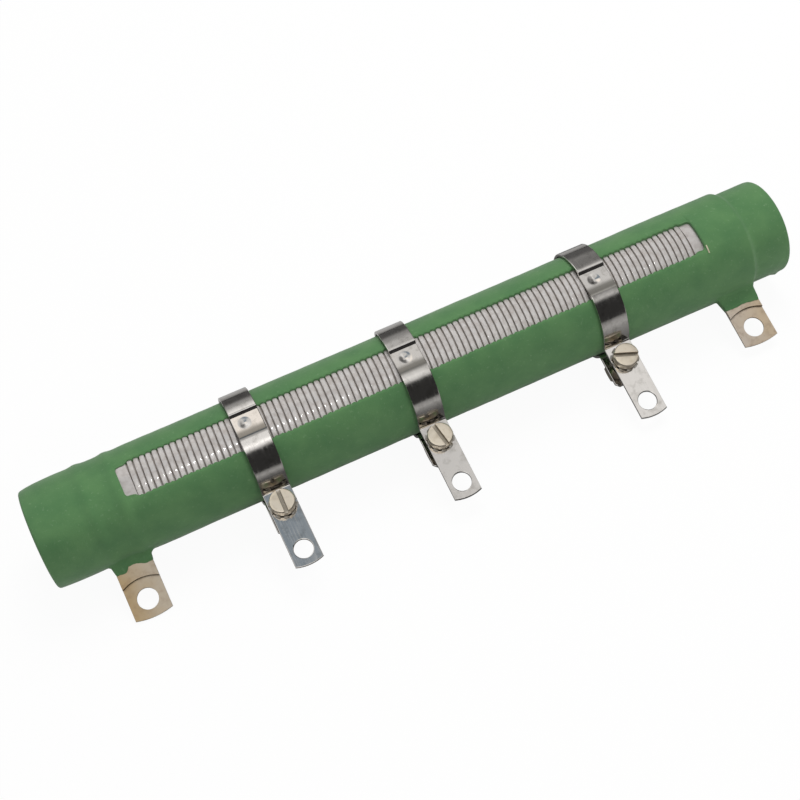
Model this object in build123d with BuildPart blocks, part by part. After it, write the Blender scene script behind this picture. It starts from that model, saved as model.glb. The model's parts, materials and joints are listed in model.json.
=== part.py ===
from build123d import *
from math import acos, atan2, cos, degrees, floor, hypot, radians, sin, sqrt, tan
import os

# A tubular wire-wound power resistor with three adjustable taps. A ceramic tube carries one layer
# of thick resistance wire. Cement covers the winding apart from a long window, where the contact
# of each tap reaches the bare turns. The two end terminals are straps round the ceramic, folded
# out into lugs through the cement.
#
# Frame: X runs along the tube and +Z is up. The origin is on the tube's axis at mid length. The
# resistor lies as it comes to rest, on its tap bands and on the lowest tip behind its lugs.
#
# Angles round the tube are in degrees from the lug direction towards the front, where the heads
# of the tap screws and the window are. All sizes are in millimetres.

# Ceramic tube
tube_length = 224.0
ceramic_radius = 12.7
ceramic_wall = 3.2
ceramic_chamfer = 0.6

# Cement coating, as cover over the wire in the middle and over the bare ceramic at the rims
cover_left = 0.65
cover_right = 0.95
rim_cover_left = 1.3
rim_cover_right = 1.1
neck_cover = 1.25
end_coat = 0.6
end_coat_lip = 1.2
end_round = 1.3
ridge_rise = 0.17
dip_depth = 0.2
step_length = 1.8
ridge_width = 4.8
collar_length = 5.0
root_rise = 1.5
root_skirt = 1.3
bond_gap = 0.04

# Resistance winding
wire_diameter = 1.3
wire_pitch = 1.735
lead_angle = 73.5

# Window in the cement
window_low_angle = 77.0
window_high_angle = 120.0
window_end_gap = 0.3
window_end_gap_right = 2.0
end_band_width = 2.4

# End terminals, with the leaves measured outwards from the strap
terminal_width = 10.5
terminal_thickness = 0.6
terminal_inset_left = 20.25
terminal_inset_right = 18.1
terminal_roll_left = -2.3
terminal_roll_right = 2.3
terminal_leaf_length = 18.15
terminal_end_bulge = 0.7
short_leaf_length = 8.45
short_leaf_hollow = 1.3
terminal_hole_radius = 2.9
terminal_hole_distance = 13.0
hole_bevel = 0.15

# Adjustable taps, with the leaves measured outwards from the band. The left and middle taps are
# placed from the left end of the tube and the right tap from the right end.
tap_inset_left = 62.5
tap_inset_middle = 108.8
tap_inset_right = 57.8
tap_roll_left = 10.1
tap_roll_middle = 6.0
tap_roll_right = 3.0
slot_angle_left = 88.0
slot_angle_middle = -80.0
slot_angle_right = -21.0
band_width = 8.0
band_thickness = 0.8
band_clearance = 0.25
leaf_spread = 3.6
leaf_bend_radius = 0.6
tap_leaf_length = 22.7
tap_end_bulge = 0.7
rear_leaf_length = 9.8
rear_leaf_chamfer = 1.1
tap_hole_radius = 2.65
tap_hole_distance = 18.0
screw_distance = 4.4
screw_hole_radius = 2.25

# Contact pad and its nub
contact_gap = 0.12
nub_height = 0.25
nub_radius = 1.5
dent_depth = 0.4
dent_radius = 1.6
nub_angle = 93.0
nub_shift = -0.7
pad_normal_angle = 98.0
joggle_angle = 104.2
joggle_turn = 2.2
joggle_round = 0.25

# M4 hardware
screw_radius = 2.0
screw_length = 12.0
head_radius = 3.5
head_height = 2.6
head_round = 0.35
slot_width = 1.2
slot_depth = 1.1
tip_chamfer = 0.5
washer_radius = 4.0
washer_bore_radius = 2.15
washer_thickness = 0.6
tooth_count = 10
tooth_gap = 0.9
tooth_root_radius = 3.1
nut_flats = 7.0
nut_height = 3.2
nut_bore_radius = 2.05

# Sizes worked out from the ones above
left_end = -tube_length / 2
right_end = tube_length / 2
bore_radius = ceramic_radius - ceramic_wall
wire_radius = wire_diameter / 2
turn_radius = ceramic_radius + wire_radius
crest_radius = ceramic_radius + wire_diameter
coat_radius_left = crest_radius + cover_left
coat_radius_right = crest_radius + cover_right
left_rim_radius = ceramic_radius + rim_cover_left
right_rim_radius = ceramic_radius + rim_cover_right
terminal_left_x = left_end + terminal_inset_left
terminal_right_x = right_end - terminal_inset_right
window_start = terminal_left_x + terminal_width / 2 + window_end_gap
window_end = terminal_right_x - terminal_width / 2 - window_end_gap_right
turn_count = floor((window_end - window_start - 2 * end_band_width) / wire_pitch)
winding_centre = (window_start + window_end) / 2
winding_half = turn_count * wire_pitch / 2
window_arc = window_high_angle - window_low_angle
strap_inner = ceramic_radius + bond_gap
strap_outer = strap_inner + terminal_thickness
terminal_reach = strap_outer + terminal_leaf_length
terminal_hole_reach = strap_outer + terminal_hole_distance
short_leaf_reach = strap_outer + short_leaf_length
band_inner = max(coat_radius_left, coat_radius_right) + band_clearance
band_outer = band_inner + band_thickness
tap_reach = band_outer + tap_leaf_length
tap_hole_reach = band_outer + tap_hole_distance
rear_leaf_reach = band_outer + rear_leaf_length
screw_reach = band_outer + screw_distance
leaf_inner = leaf_spread - band_thickness
pad_inner = crest_radius + contact_gap + nub_height
pad_outer = pad_inner + band_thickness
head_seat = leaf_spread + washer_thickness
screw_tip = head_seat - screw_length
taps = (
    ("left", left_end + tap_inset_left, tap_roll_left, slot_angle_left),
    ("middle", left_end + tap_inset_middle, tap_roll_middle, slot_angle_middle),
    ("right", right_end - tap_inset_right, tap_roll_right, slot_angle_right),
)
terminals = (
    ("left", terminal_left_x, terminal_roll_left),
    ("right", terminal_right_x, terminal_roll_right),
)


def lying_angle(reach, offset, roll):
    """Angle from straight up to the lug direction at which a point behind a lug meets the floor."""
    slant = hypot(reach, offset)
    return degrees(atan2(offset, reach) + acos(-band_outer / slant)) + roll


tip_reach = screw_reach + screw_radius - tip_chamfer
nut_reach = screw_reach + nut_flats / 2
lie_angle = min(
    [lying_angle(terminal_reach, -terminal_thickness, roll) for _, _, roll in terminals]
    + [lying_angle(tip_reach, screw_tip, roll) for _, _, roll, _ in taps]
    + [lying_angle(nut_reach, -leaf_spread - nut_height, roll) for _, _, roll, _ in taps]
)


def direction(angle):
    """Unit vector square to the tube at an angle from the lug direction towards the front."""
    turn = radians(lie_angle - angle)
    return Vector(0, -sin(turn), cos(turn))


def section_plane(x, roll):
    """Plane across the tube, with its x along a lug and its y towards the front."""
    return Plane(origin=(x, 0, 0), x_dir=direction(roll), z_dir=(-1, 0, 0))


def lengthwise_plane(angle):
    """Plane through the tube's axis, with its x along the tube and its y at an angle."""
    return Plane(origin=(0, 0, 0), x_dir=(1, 0, 0), z_dir=Vector(1, 0, 0).cross(direction(angle)))


def leaf_plane(x, roll, reach, offset):
    """Plane of a lug's face at a reach from the axis, with its z towards the front."""
    origin = Vector(x, 0, 0) + direction(roll) * reach + direction(roll + 90) * offset
    return Plane(origin=origin, x_dir=(1, 0, 0), z_dir=direction(roll + 90))


def polar(radius, angle):
    """Point of a section at a radius and an angle."""
    return (radius * cos(radians(angle)), radius * sin(radians(angle)))


def square_to_lug(x, roll, reach):
    """Plane square to a lug at a reach from the axis."""
    return Plane(origin=Vector(x, 0, 0) + direction(roll) * reach, x_dir=(1, 0, 0), z_dir=direction(roll))


def finish(part, name):
    """Label a finished piece and write it to its own file."""
    part.label = name
    export_step(part, f"parts/{name}.step")


os.makedirs("parts", exist_ok=True)

# Ceramic tube, shorter than the whole by the cement on its end faces
with BuildPart() as ceramic_tube:
    with BuildSketch(Plane.YZ.offset(left_end + end_coat)):
        Circle(ceramic_radius)
        Circle(bore_radius, mode=Mode.SUBTRACT)
    extrude(amount=tube_length - 2 * end_coat)
    chamfer(ceramic_tube.edges().filter_by(GeomType.CIRCLE), ceramic_chamfer)
finish(ceramic_tube.part, "ceramic_tube")

# Winding. The buried turns are a sleeve up to the wire's centre line, and the window shows the
# outer half of each turn with its round simplified to three flats. At each end of the window a
# flat band as high as the turns fills the space up to the cement.
first_turn = winding_centre - winding_half + wire_pitch / 2
leads = (
    (terminal_left_x + terminal_width / 2, winding_centre - winding_half + 2 * bond_gap),
    (winding_centre + winding_half - 2 * bond_gap, terminal_right_x - terminal_width / 2),
)


def lead_plane(x):
    """Plane across a buried lead, with its x pointing away from the tube's axis."""
    centre = Vector(x, 0, 0) + direction(lead_angle) * turn_radius
    return Plane(origin=centre, x_dir=direction(lead_angle), z_dir=(1, 0, 0))


bare_arc = window_arc - 2 * degrees(bond_gap / crest_radius)
bare_angle = window_high_angle - degrees(bond_gap / crest_radius)
with BuildPart() as resistance_winding:
    with BuildSketch(lengthwise_plane(bare_angle)):
        with Locations((winding_centre, turn_radius - wire_radius / 2)):
            Rectangle(2 * winding_half, wire_radius - 2 * bond_gap)
    revolve(axis=Axis.X)
    outline = [(window_start + bond_gap, turn_radius - wire_radius / 2)]
    outline += [(window_start + bond_gap, crest_radius), (winding_centre - winding_half, crest_radius)]
    outline += [(winding_centre - winding_half, turn_radius)]
    for turn in range(turn_count):
        middle = first_turn + turn * wire_pitch
        outline += [(middle - wire_radius, turn_radius), (middle - wire_radius / 2, crest_radius)]
        outline += [(middle + wire_radius / 2, crest_radius), (middle + wire_radius, turn_radius)]
    outline += [(winding_centre + winding_half, turn_radius)]
    outline += [(winding_centre + winding_half, crest_radius), (window_end - bond_gap, crest_radius)]
    outline += [(window_end - bond_gap, turn_radius - wire_radius / 2)]
    with BuildSketch(lengthwise_plane(bare_angle)):
        with BuildLine():
            Polyline(*outline, close=True)
        make_face()
    revolve(axis=Axis.X, revolution_arc=bare_arc)
    for lead_start, lead_stop in leads:
        with BuildSketch(lead_plane(lead_start + bond_gap)):
            Rectangle(wire_radius, wire_diameter)
        extrude(amount=lead_stop - lead_start - 2 * bond_gap)
finish(resistance_winding.part, "resistance_winding")


def outer_skin():
    """Cement surface from the left rim to the right rim, in X and radius."""
    left_ring = (terminal_left_x - terminal_width / 2, terminal_left_x + terminal_width / 2)
    right_ring = terminal_right_x + terminal_width / 2
    dip = coat_radius_left - dip_depth
    ridge = coat_radius_left + ridge_rise
    ridge_spans = (
        (left_ring[0] - ridge_width / 3, left_ring[0] + ridge_width * 2 / 3),
        (left_ring[1] - ridge_width * 2 / 3, left_ring[1] + ridge_width / 3),
    )
    Polyline(
        (left_end, bore_radius + end_coat_lip),
        (left_end, left_rim_radius - end_round),
        (left_end + end_round / 3, left_rim_radius - end_round / 3),
        (left_end + end_round, left_rim_radius),
        (ridge_spans[0][0] - collar_length, coat_radius_left - dip_depth / 2),
        (ridge_spans[0][0], dip),
    )
    for start, stop in ridge_spans:
        top = (stop - start) / 3
        Polyline((start, dip), (start + top, ridge), (stop - top, ridge), (stop, dip))
    Line((ridge_spans[0][1], dip), (ridge_spans[1][0], dip))
    Polyline(
        (ridge_spans[1][1], dip),
        (ridge_spans[1][1] + ridge_width, coat_radius_left),
        (right_ring, coat_radius_right),
        (right_ring + step_length, ceramic_radius + neck_cover),
        (right_end - end_round, right_rim_radius),
        (right_end - end_round / 3, right_rim_radius - end_round / 3),
        (right_end, right_rim_radius - end_round),
        (right_end, bore_radius + end_coat_lip),
    )


def inner_skin():
    """Cement surface against the ceramic, the straps and the winding, from right to left."""
    over_ceramic = ceramic_radius + bond_gap
    over_strap = strap_outer + bond_gap
    over_wire = turn_radius + bond_gap
    low = [(left_end, bore_radius + end_coat_lip)]
    low += [(left_end + end_coat - bond_gap, bore_radius + end_coat_lip)]
    low += [(left_end + end_coat - bond_gap, over_ceramic)]
    for middle, half, radius in (
        (terminal_left_x, terminal_width / 2 + bond_gap, over_strap),
        (winding_centre, winding_half + bond_gap, over_wire),
        (terminal_right_x, terminal_width / 2 + bond_gap, over_strap),
    ):
        low += [(middle - half, over_ceramic), (middle - half, radius)]
        low += [(middle + half, radius), (middle + half, over_ceramic)]
    low += [(right_end - end_coat + bond_gap, over_ceramic)]
    low += [(right_end - end_coat + bond_gap, bore_radius + end_coat_lip)]
    low += [(right_end, bore_radius + end_coat_lip)]
    Polyline(*low)


# Cement coating, with a raised root where each pair of leaves comes through and the open window
root_base_reach = strap_outer + bond_gap
root_top_reach = max(coat_radius_left, coat_radius_right) + root_rise
with BuildPart() as cement_coating:
    with BuildSketch(Plane.XZ):
        with BuildLine():
            outer_skin()
            inner_skin()
        make_face()
    revolve(axis=Axis.X)
    for _, x, roll in terminals:
        with BuildSketch(square_to_lug(x, roll, root_base_reach)):
            RectangleRounded(
                terminal_width + 2 * root_skirt,
                2 * terminal_thickness + 4 * root_skirt,
                root_skirt,
            )
        with BuildSketch(square_to_lug(x, roll, root_top_reach)):
            RectangleRounded(
                terminal_width + root_skirt,
                2 * terminal_thickness + root_skirt,
                root_skirt / 2,
            )
        loft()
        with BuildSketch(square_to_lug(x, roll, ceramic_radius)):
            Rectangle(terminal_width + 2 * bond_gap, 2 * (terminal_thickness + bond_gap))
        extrude(amount=terminal_reach, mode=Mode.SUBTRACT)
    with BuildSketch(lengthwise_plane(window_high_angle)):
        with Locations(((window_start + window_end) / 2, ceramic_radius + bond_gap + wire_diameter)):
            Rectangle(window_end - window_start, 2 * wire_diameter)
    revolve(axis=Axis.X, revolution_arc=window_arc, mode=Mode.SUBTRACT)
    for lead_start, lead_stop in leads:
        with BuildSketch(lead_plane(lead_start)):
            Rectangle(wire_radius + 2 * bond_gap, wire_diameter + 2 * bond_gap)
        extrude(amount=lead_stop - lead_start, mode=Mode.SUBTRACT)
finish(cement_coating.part, "cement_coating")


def cut_round_end(x, roll, width, reach, bulge):
    """Trim the end of a leaf to an arc that bulges outwards."""
    arc_radius = (width**2 / 4 + bulge**2) / (2 * bulge)
    with BuildSketch(leaf_plane(x, roll, reach, 0)) as beyond:
        Rectangle(2 * width, 2 * bulge)
        with Locations((0, arc_radius)):
            Circle(arc_radius, mode=Mode.SUBTRACT)
    extrude(beyond.sketch, amount=leaf_spread + band_thickness, both=True, mode=Mode.SUBTRACT)


# End terminals: a strap round the ceramic whose two ends lie flat together as a lug. The long
# leaf carries the hole, and the short one ends in a hollow arc.
for side, x, roll in terminals:
    fold = sqrt(strap_outer**2 - terminal_thickness**2)
    with BuildPart() as terminal:
        with BuildSketch(section_plane(x, roll)):
            with BuildLine():
                Polyline(
                    (fold, terminal_thickness),
                    (short_leaf_reach, terminal_thickness),
                    (short_leaf_reach, 0),
                    (terminal_reach, 0),
                    (terminal_reach, -terminal_thickness),
                    (fold, -terminal_thickness),
                )
                ThreePointArc((fold, -terminal_thickness), (-strap_outer, 0), (fold, terminal_thickness))
            make_face()
            Circle(strap_inner, mode=Mode.SUBTRACT)
        extrude(amount=terminal_width / 2, both=True)
        cut_round_end(x, roll, terminal_width, terminal_reach, terminal_end_bulge)
        hollow_radius = (terminal_width**2 / 4 + short_leaf_hollow**2) / (2 * short_leaf_hollow)
        with BuildSketch(leaf_plane(x, roll, short_leaf_reach - short_leaf_hollow + hollow_radius, 0)):
            Circle(hollow_radius)
        extrude(amount=terminal_thickness, mode=Mode.SUBTRACT)
        with Locations(leaf_plane(x, roll, terminal_hole_reach, 0)):
            Hole(terminal_hole_radius)
        rims = terminal.edges().filter_by(GeomType.CIRCLE)
        chamfer([rim for rim in rims if abs(rim.radius - terminal_hole_radius) < bond_gap], hole_bevel)
    finish(terminal.part, f"terminal_{side}")


def strip_profile():
    """Section of a tap's strip: long front leaf, band with its pressed-in pad, short rear leaf."""
    out_bend = sqrt(band_outer**2 - leaf_spread**2)
    in_bend = sqrt(band_inner**2 - leaf_inner**2)
    shift = degrees(band_thickness / band_inner)
    low_out = polar(pad_outer / cos(radians(joggle_angle - pad_normal_angle)), joggle_angle)
    low_in = polar(pad_inner / cos(radians(joggle_angle + shift - pad_normal_angle)), joggle_angle + shift)
    high_out = polar(band_outer, joggle_angle + joggle_turn)
    high_in = polar(band_inner, joggle_angle + joggle_turn + shift)
    pad_out = polar(band_outer, pad_normal_angle - degrees(acos(pad_outer / band_outer)))
    pad_in = polar(band_inner, pad_normal_angle - degrees(acos(pad_inner / band_inner)))
    with BuildLine() as outline:
        Line((tap_reach, leaf_spread), (out_bend, leaf_spread))
        RadiusArc((out_bend, leaf_spread), pad_out, -band_outer)
        Polyline(pad_out, low_out, high_out)
        ThreePointArc(high_out, (-band_outer, 0), (out_bend, -leaf_spread))
        Polyline(
            (out_bend, -leaf_spread),
            (rear_leaf_reach, -leaf_spread),
            (rear_leaf_reach, -leaf_inner),
            (in_bend, -leaf_inner),
        )
        ThreePointArc((in_bend, -leaf_inner), (-band_inner, 0), high_in)
        Polyline(high_in, low_in, pad_in)
        RadiusArc(pad_in, (in_bend, leaf_inner), band_inner)
        Polyline((in_bend, leaf_inner), (tap_reach, leaf_inner), (tap_reach, leaf_spread))
    make_face(outline.edges())
    return (
        ((out_bend, leaf_spread), leaf_bend_radius),
        ((out_bend, -leaf_spread), leaf_bend_radius),
        ((in_bend, leaf_inner), leaf_bend_radius + band_thickness),
        ((in_bend, -leaf_inner), leaf_bend_radius + band_thickness),
        (high_out, joggle_round),
        (low_out, joggle_round),
        (high_in, joggle_round),
        (low_in, joggle_round),
    )


def spherical_cap(plane, level, radius, depth, mode):
    """Add or cut a shallow cap whose rim is at a level of the plane's y and points down it."""
    cap_radius = (radius**2 + depth**2) / (2 * depth)
    with BuildSketch(plane) as half:
        with BuildLine():
            Polyline((0, level - depth), (0, level + depth), (radius, level + depth), (radius, level))
            RadiusArc((radius, level), (0, level - depth), cap_radius)
        make_face()
    revolve(half.sketch, axis=Axis(plane.origin, plane.y_dir), mode=mode)


# Adjustable taps, each a bent strip with its screw, toothed washer and nut
for place, x, roll, slot_angle in taps:
    with BuildPart() as tap_band:
        with BuildSketch(section_plane(x, roll)) as profile:
            for corner, corner_radius in strip_profile():
                fillet(profile.vertices().sort_by_distance(corner)[0], corner_radius)
        extrude(amount=band_width / 2, both=True)
        cut_round_end(x, roll, band_width, tap_reach, tap_end_bulge)
        for side in (-1, 1):
            corner = leaf_plane(x, roll, rear_leaf_reach, -leaf_spread + band_thickness / 2).origin
            corner += Vector(side * band_width / 2, 0, 0)
            chamfer(tap_band.edges().sort_by_distance(corner)[0], rear_leaf_chamfer)
        with Locations(leaf_plane(x, roll, screw_reach, leaf_spread)):
            Hole(screw_hole_radius)
        with Locations(leaf_plane(x, roll, tap_hole_reach, leaf_spread)):
            Hole(tap_hole_radius)
        rims = tap_band.edges().filter_by(GeomType.CIRCLE)
        chamfer([rim for rim in rims if abs(rim.radius - tap_hole_radius) < bond_gap], hole_bevel)
        nub_offset = pad_inner * tan(radians(pad_normal_angle - nub_angle))
        nub_origin = Vector(x + nub_shift, 0, 0) + direction(roll + pad_normal_angle) * pad_inner
        nub_origin += direction(roll + pad_normal_angle - 90) * nub_offset
        nub_plane = Plane(
            origin=nub_origin,
            x_dir=(1, 0, 0),
            z_dir=Vector(1, 0, 0).cross(direction(roll + pad_normal_angle)),
        )
        spherical_cap(nub_plane, 0, nub_radius, nub_height, Mode.ADD)
        spherical_cap(nub_plane, band_thickness, dent_radius, dent_depth, Mode.SUBTRACT)
    finish(tap_band.part, f"tap_{place}_band")

    with BuildPart() as screw:
        with BuildSketch(leaf_plane(x, roll, screw_reach, head_seat)):
            Circle(head_radius)
        extrude(amount=head_height)
        chamfer(screw.edges().group_by(Axis((0, 0, 0), direction(roll + 90)))[-1], head_round)
        head_top = leaf_plane(x, roll, screw_reach, head_seat + head_height)
        with BuildSketch(head_top.rotated((0, 0, slot_angle))):
            Rectangle(3 * head_radius, slot_width)
        extrude(amount=-slot_depth, mode=Mode.SUBTRACT)
        with BuildSketch(leaf_plane(x, roll, screw_reach, head_seat)):
            Circle(screw_radius)
        extrude(amount=-screw_length)
        chamfer(screw.edges().group_by(Axis((0, 0, 0), direction(roll + 90)))[0], tip_chamfer)
    finish(screw.part, f"tap_{place}_screw")

    with BuildPart() as washer:
        with BuildSketch(leaf_plane(x, roll, screw_reach, leaf_spread)):
            Circle(washer_radius)
            Circle(washer_bore_radius, mode=Mode.SUBTRACT)
            with PolarLocations((tooth_root_radius + washer_radius) / 2 + tooth_gap / 2, tooth_count):
                Rectangle(washer_radius - tooth_root_radius + tooth_gap, tooth_gap, mode=Mode.SUBTRACT)
        extrude(amount=washer_thickness)
    finish(washer.part, f"tap_{place}_washer")

    with BuildPart() as nut:
        with BuildSketch(leaf_plane(x, roll, screw_reach, -leaf_spread)):
            RegularPolygon(nut_flats / 2, 6, major_radius=False)
            Circle(nut_bore_radius, mode=Mode.SUBTRACT)
        extrude(amount=-nut_height)
    finish(nut.part, f"tap_{place}_nut")
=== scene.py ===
"""A tapped tubular power resistor: cement-coated winding, two end lugs and three sliding taps.

Sizes are in millimetres and angles in degrees unless a name says otherwise. Angles round the tube
are measured from the lug direction towards the front. Meshes are handed to Blender in metres.
"""

import json
import logging
import math
from dataclasses import dataclass
from enum import Enum

import bmesh
import bpy
import numpy as np
from mathutils import Matrix, Vector


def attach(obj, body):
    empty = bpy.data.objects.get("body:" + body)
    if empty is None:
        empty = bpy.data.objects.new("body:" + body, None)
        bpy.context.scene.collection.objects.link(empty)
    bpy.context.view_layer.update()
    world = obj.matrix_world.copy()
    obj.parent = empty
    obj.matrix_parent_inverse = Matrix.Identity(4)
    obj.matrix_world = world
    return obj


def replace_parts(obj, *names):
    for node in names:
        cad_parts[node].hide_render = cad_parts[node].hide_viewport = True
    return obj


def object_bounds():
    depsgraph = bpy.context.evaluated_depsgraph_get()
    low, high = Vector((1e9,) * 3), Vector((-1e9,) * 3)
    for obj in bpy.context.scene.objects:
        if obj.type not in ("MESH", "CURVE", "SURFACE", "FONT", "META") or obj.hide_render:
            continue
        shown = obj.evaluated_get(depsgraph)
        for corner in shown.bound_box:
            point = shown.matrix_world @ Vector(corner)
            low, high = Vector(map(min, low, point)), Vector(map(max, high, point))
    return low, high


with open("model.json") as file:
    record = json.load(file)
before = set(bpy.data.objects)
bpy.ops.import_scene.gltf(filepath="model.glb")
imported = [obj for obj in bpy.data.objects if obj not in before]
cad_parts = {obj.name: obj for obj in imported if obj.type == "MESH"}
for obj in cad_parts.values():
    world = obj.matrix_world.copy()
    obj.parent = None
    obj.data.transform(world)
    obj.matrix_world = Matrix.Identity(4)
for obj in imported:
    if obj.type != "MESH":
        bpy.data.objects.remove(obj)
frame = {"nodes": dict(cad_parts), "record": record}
cad_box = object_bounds()

Tree, Node, Socket = bpy.types.NodeTree, bpy.types.Node, bpy.types.NodeSocket
Object = bpy.types.Object
Rows = np.ndarray
Face = tuple[int, ...]
Triple = tuple[float, float, float]
MM = 0.001
log = logging.getLogger("resistor")


class Slot(Enum):
    """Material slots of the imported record."""

    WIRE = "wire"
    CEMENT = "cement"
    STRAP = "tinned_strap"
    STRIP = "plated_strip"
    SCREW = "plated_screw"
    WASHER = "plated_washer"


class Place(Enum):
    """The three taps, from the left end of the tube."""

    LEFT = "left"
    MIDDLE = "middle"
    RIGHT = "right"


def linear(colour: str) -> tuple[float, float, float, float]:
    """Turn an sRGB hex colour into linear values.

    Args:
        colour: Six hex digits after a hash mark.

    Returns:
        Linear red, green and blue, with an alpha of 1.
    """
    shares = [int(colour[i : i + 2], 16) / 255 for i in (1, 3, 5)]
    values = [s / 12.92 if s <= 0.04045 else ((s + 0.055) / 1.055) ** 2.4 for s in shares]
    return (*values, 1.0)


def add_node(
    tree: Tree, kind: str, inputs: dict[str | int, object] | None = None, **settings: object
) -> Node:
    """Add a node with its settings, its input values and its links.

    Args:
        tree: The node tree that gets the node.
        kind: The node's type name, without the word that all of them start with.
        inputs: For each input, by name or number, its value, the output socket that feeds it or
            the node whose first output does.
        **settings: Attributes of the node itself.

    Returns:
        The new node.
    """
    node = tree.nodes.new(f"ShaderNode{kind}")
    for name, value in settings.items():
        setattr(node, name, value)
    for key, value in (inputs or {}).items():
        source = value.outputs[0] if isinstance(value, Node) else value
        if isinstance(source, Socket):
            tree.links.new(source, node.inputs[key])
        else:
            node.inputs[key].default_value = source
    return node


def empty_tree(owner: bpy.types.ID) -> Tree:
    """Switch on a node tree and clear it.

    Args:
        owner: The material or world.

    Returns:
        The empty tree.
    """
    owner.use_nodes = True
    owner.node_tree.nodes.clear()
    return owner.node_tree


def blend(tree: Tree, share: object, low: object, high: object) -> Socket:
    """Blend two colours.

    Args:
        tree: The node tree.
        share: How much of the second colour shows.
        low: The first colour, in hex, or what gives it.
        high: The second colour, likewise.

    Returns:
        The blended colour.
    """
    first, second = (linear(end) if isinstance(end, str) else end for end in (low, high))
    inputs = {0: share, 6: first, 7: second}
    return add_node(tree, "Mix", inputs, data_type="RGBA", clamp_factor=True).outputs[2]


@dataclass(frozen=True)
class Pattern:
    """An uneven pattern in a surface: its grain size, and the levels between which it shows."""

    size: float
    low: float = 0.0
    high: float = 1.0
    bottom: float = 0.0
    top: float = 1.0
    detail: float = 3.0
    crumble: float = 0.5

    def share(self, tree: Tree, place: object, lean: Node | None = None) -> Node:
        """Add the pattern's nodes.

        Args:
            tree: The material's node tree.
            place: The point in the frame, in metres.
            lean: What is added to the pattern before it is read between its levels.

        Returns:
            The pattern, from bottom to top.
        """
        grain = {"Vector": place, "Scale": 1 / (self.size * MM)}
        grain |= {"Detail": self.detail, "Roughness": self.crumble}
        made = add_node(tree, "TexNoise", grain)
        if lean is not None:
            made = add_node(tree, "Math", {0: made, 1: lean}, operation="ADD")
        levels = {"Value": made, "From Min": self.low, "From Max": self.high}
        return add_node(tree, "MapRange", levels | {"To Min": self.bottom, "To Max": self.top})


@dataclass(frozen=True)
class Relief:
    """Fine unevenness that only the shading shows: its grain size and its height."""

    size: float
    height: float
    strength: float
    detail: float = 1.0
    crumble: float = 0.5

    def bump(self, tree: Tree, place: Socket, under: Node | None = None) -> Node:
        """Add the relief's nodes.

        Args:
            tree: The material's node tree.
            place: The point in the frame, in metres.
            under: A coarser relief below this one.

        Returns:
            The bumped normal.
        """
        grain = {"Vector": place, "Scale": 1 / (self.size * MM)}
        grain |= {"Detail": self.detail, "Roughness": self.crumble}
        inputs = {"Height": add_node(tree, "TexNoise", grain), "Distance": self.height * MM}
        if under is not None:
            inputs["Normal"] = under
        return add_node(tree, "Bump", inputs | {"Strength": self.strength})


@dataclass(frozen=True)
class Finish:
    """A surface finish: what the material is and how it was made."""

    name: str

    def material(self) -> bpy.types.Material:
        """Build the finish as a material.

        Returns:
            The material, the same one at each call.
        """
        made = bpy.data.materials.get(self.name)
        if made is None:
            made = bpy.data.materials.new(self.name)
            tree = empty_tree(made)
            place = add_node(tree, "TexCoord").outputs["Object"]
            add_node(tree, "OutputMaterial", {"Surface": self.shader(tree, place)})
        return made

    def shader(self, tree: Tree, place: Socket) -> Node:
        """Add the finish's own nodes and return its surface shader."""
        raise NotImplementedError

    def paint_crevice_shade(self, tree: Tree, base: Socket, grime_and_shade: str, reach: float) -> Socket:
        """Paint shade into corners and slots: the colour darkens where walls are near.

        Args:
            tree: The material's node tree.
            base: The colour in the open.
            grime_and_shade: The colour of the painted shade.
            reach: How far away a wall still makes a corner, in millimetres.

        Returns:
            The colour with the painted shade.
        """
        # Painted shade: ambient occlusion darkens the colour in corners, slots and seams.
        walls = add_node(tree, "AmbientOcclusion", {"Distance": reach * MM}, samples=8)
        openness = {"Value": walls.outputs["AO"], "From Min": 0.35, "From Max": 0.85}
        painted_shade_share = add_node(tree, "MapRange", openness | {"To Min": 1.0, "To Max": 0.0})
        return blend(tree, painted_shade_share, base, grime_and_shade)


@dataclass(frozen=True)
class FiredCement(Finish):
    """Matt green resistor cement, dipped and fired: chalky, faintly mottled and finely gritty."""

    name: str = "fired_green_cement"
    colour: str = "#568150"
    dark: str = "#4B7749"
    pale: str = "#7B9C74"
    roughness: float = 0.58
    mottle: Pattern = Pattern(7.0, 0.35, 0.65, detail=4.0, crumble=0.55)
    specks: Pattern = Pattern(0.8, 0.62, 0.78, top=0.4, detail=2.0)
    sags: Relief = Relief(2.6, 0.1, 0.5)
    # The grit is drawn about three times as coarse as the real one, to show at all.
    grit: Relief = Relief(0.45, 0.05, 0.8, detail=3.0, crumble=0.6)

    def shader(self, tree: Tree, place: Socket) -> Node:
        """Mottled green with fine grit, and small pale specks where the glaze is thin.

        Args:
            tree: The material's node tree.
            place: The point in the frame, in metres.

        Returns:
            The surface shader.
        """
        base = blend(tree, self.mottle.share(tree, place), self.colour, self.dark)
        base = blend(tree, self.specks.share(tree, place), base, self.pale)
        relief = self.grit.bump(tree, place, self.sags.bump(tree, place))
        chalk = {"Roughness": self.roughness, "Sheen Weight": 0.2, "Sheen Roughness": 0.45}
        inputs = {"Base Color": base, "IOR": 1.5, "Normal": relief}
        return add_node(tree, "BsdfPrincipled", inputs | chalk)


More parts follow.
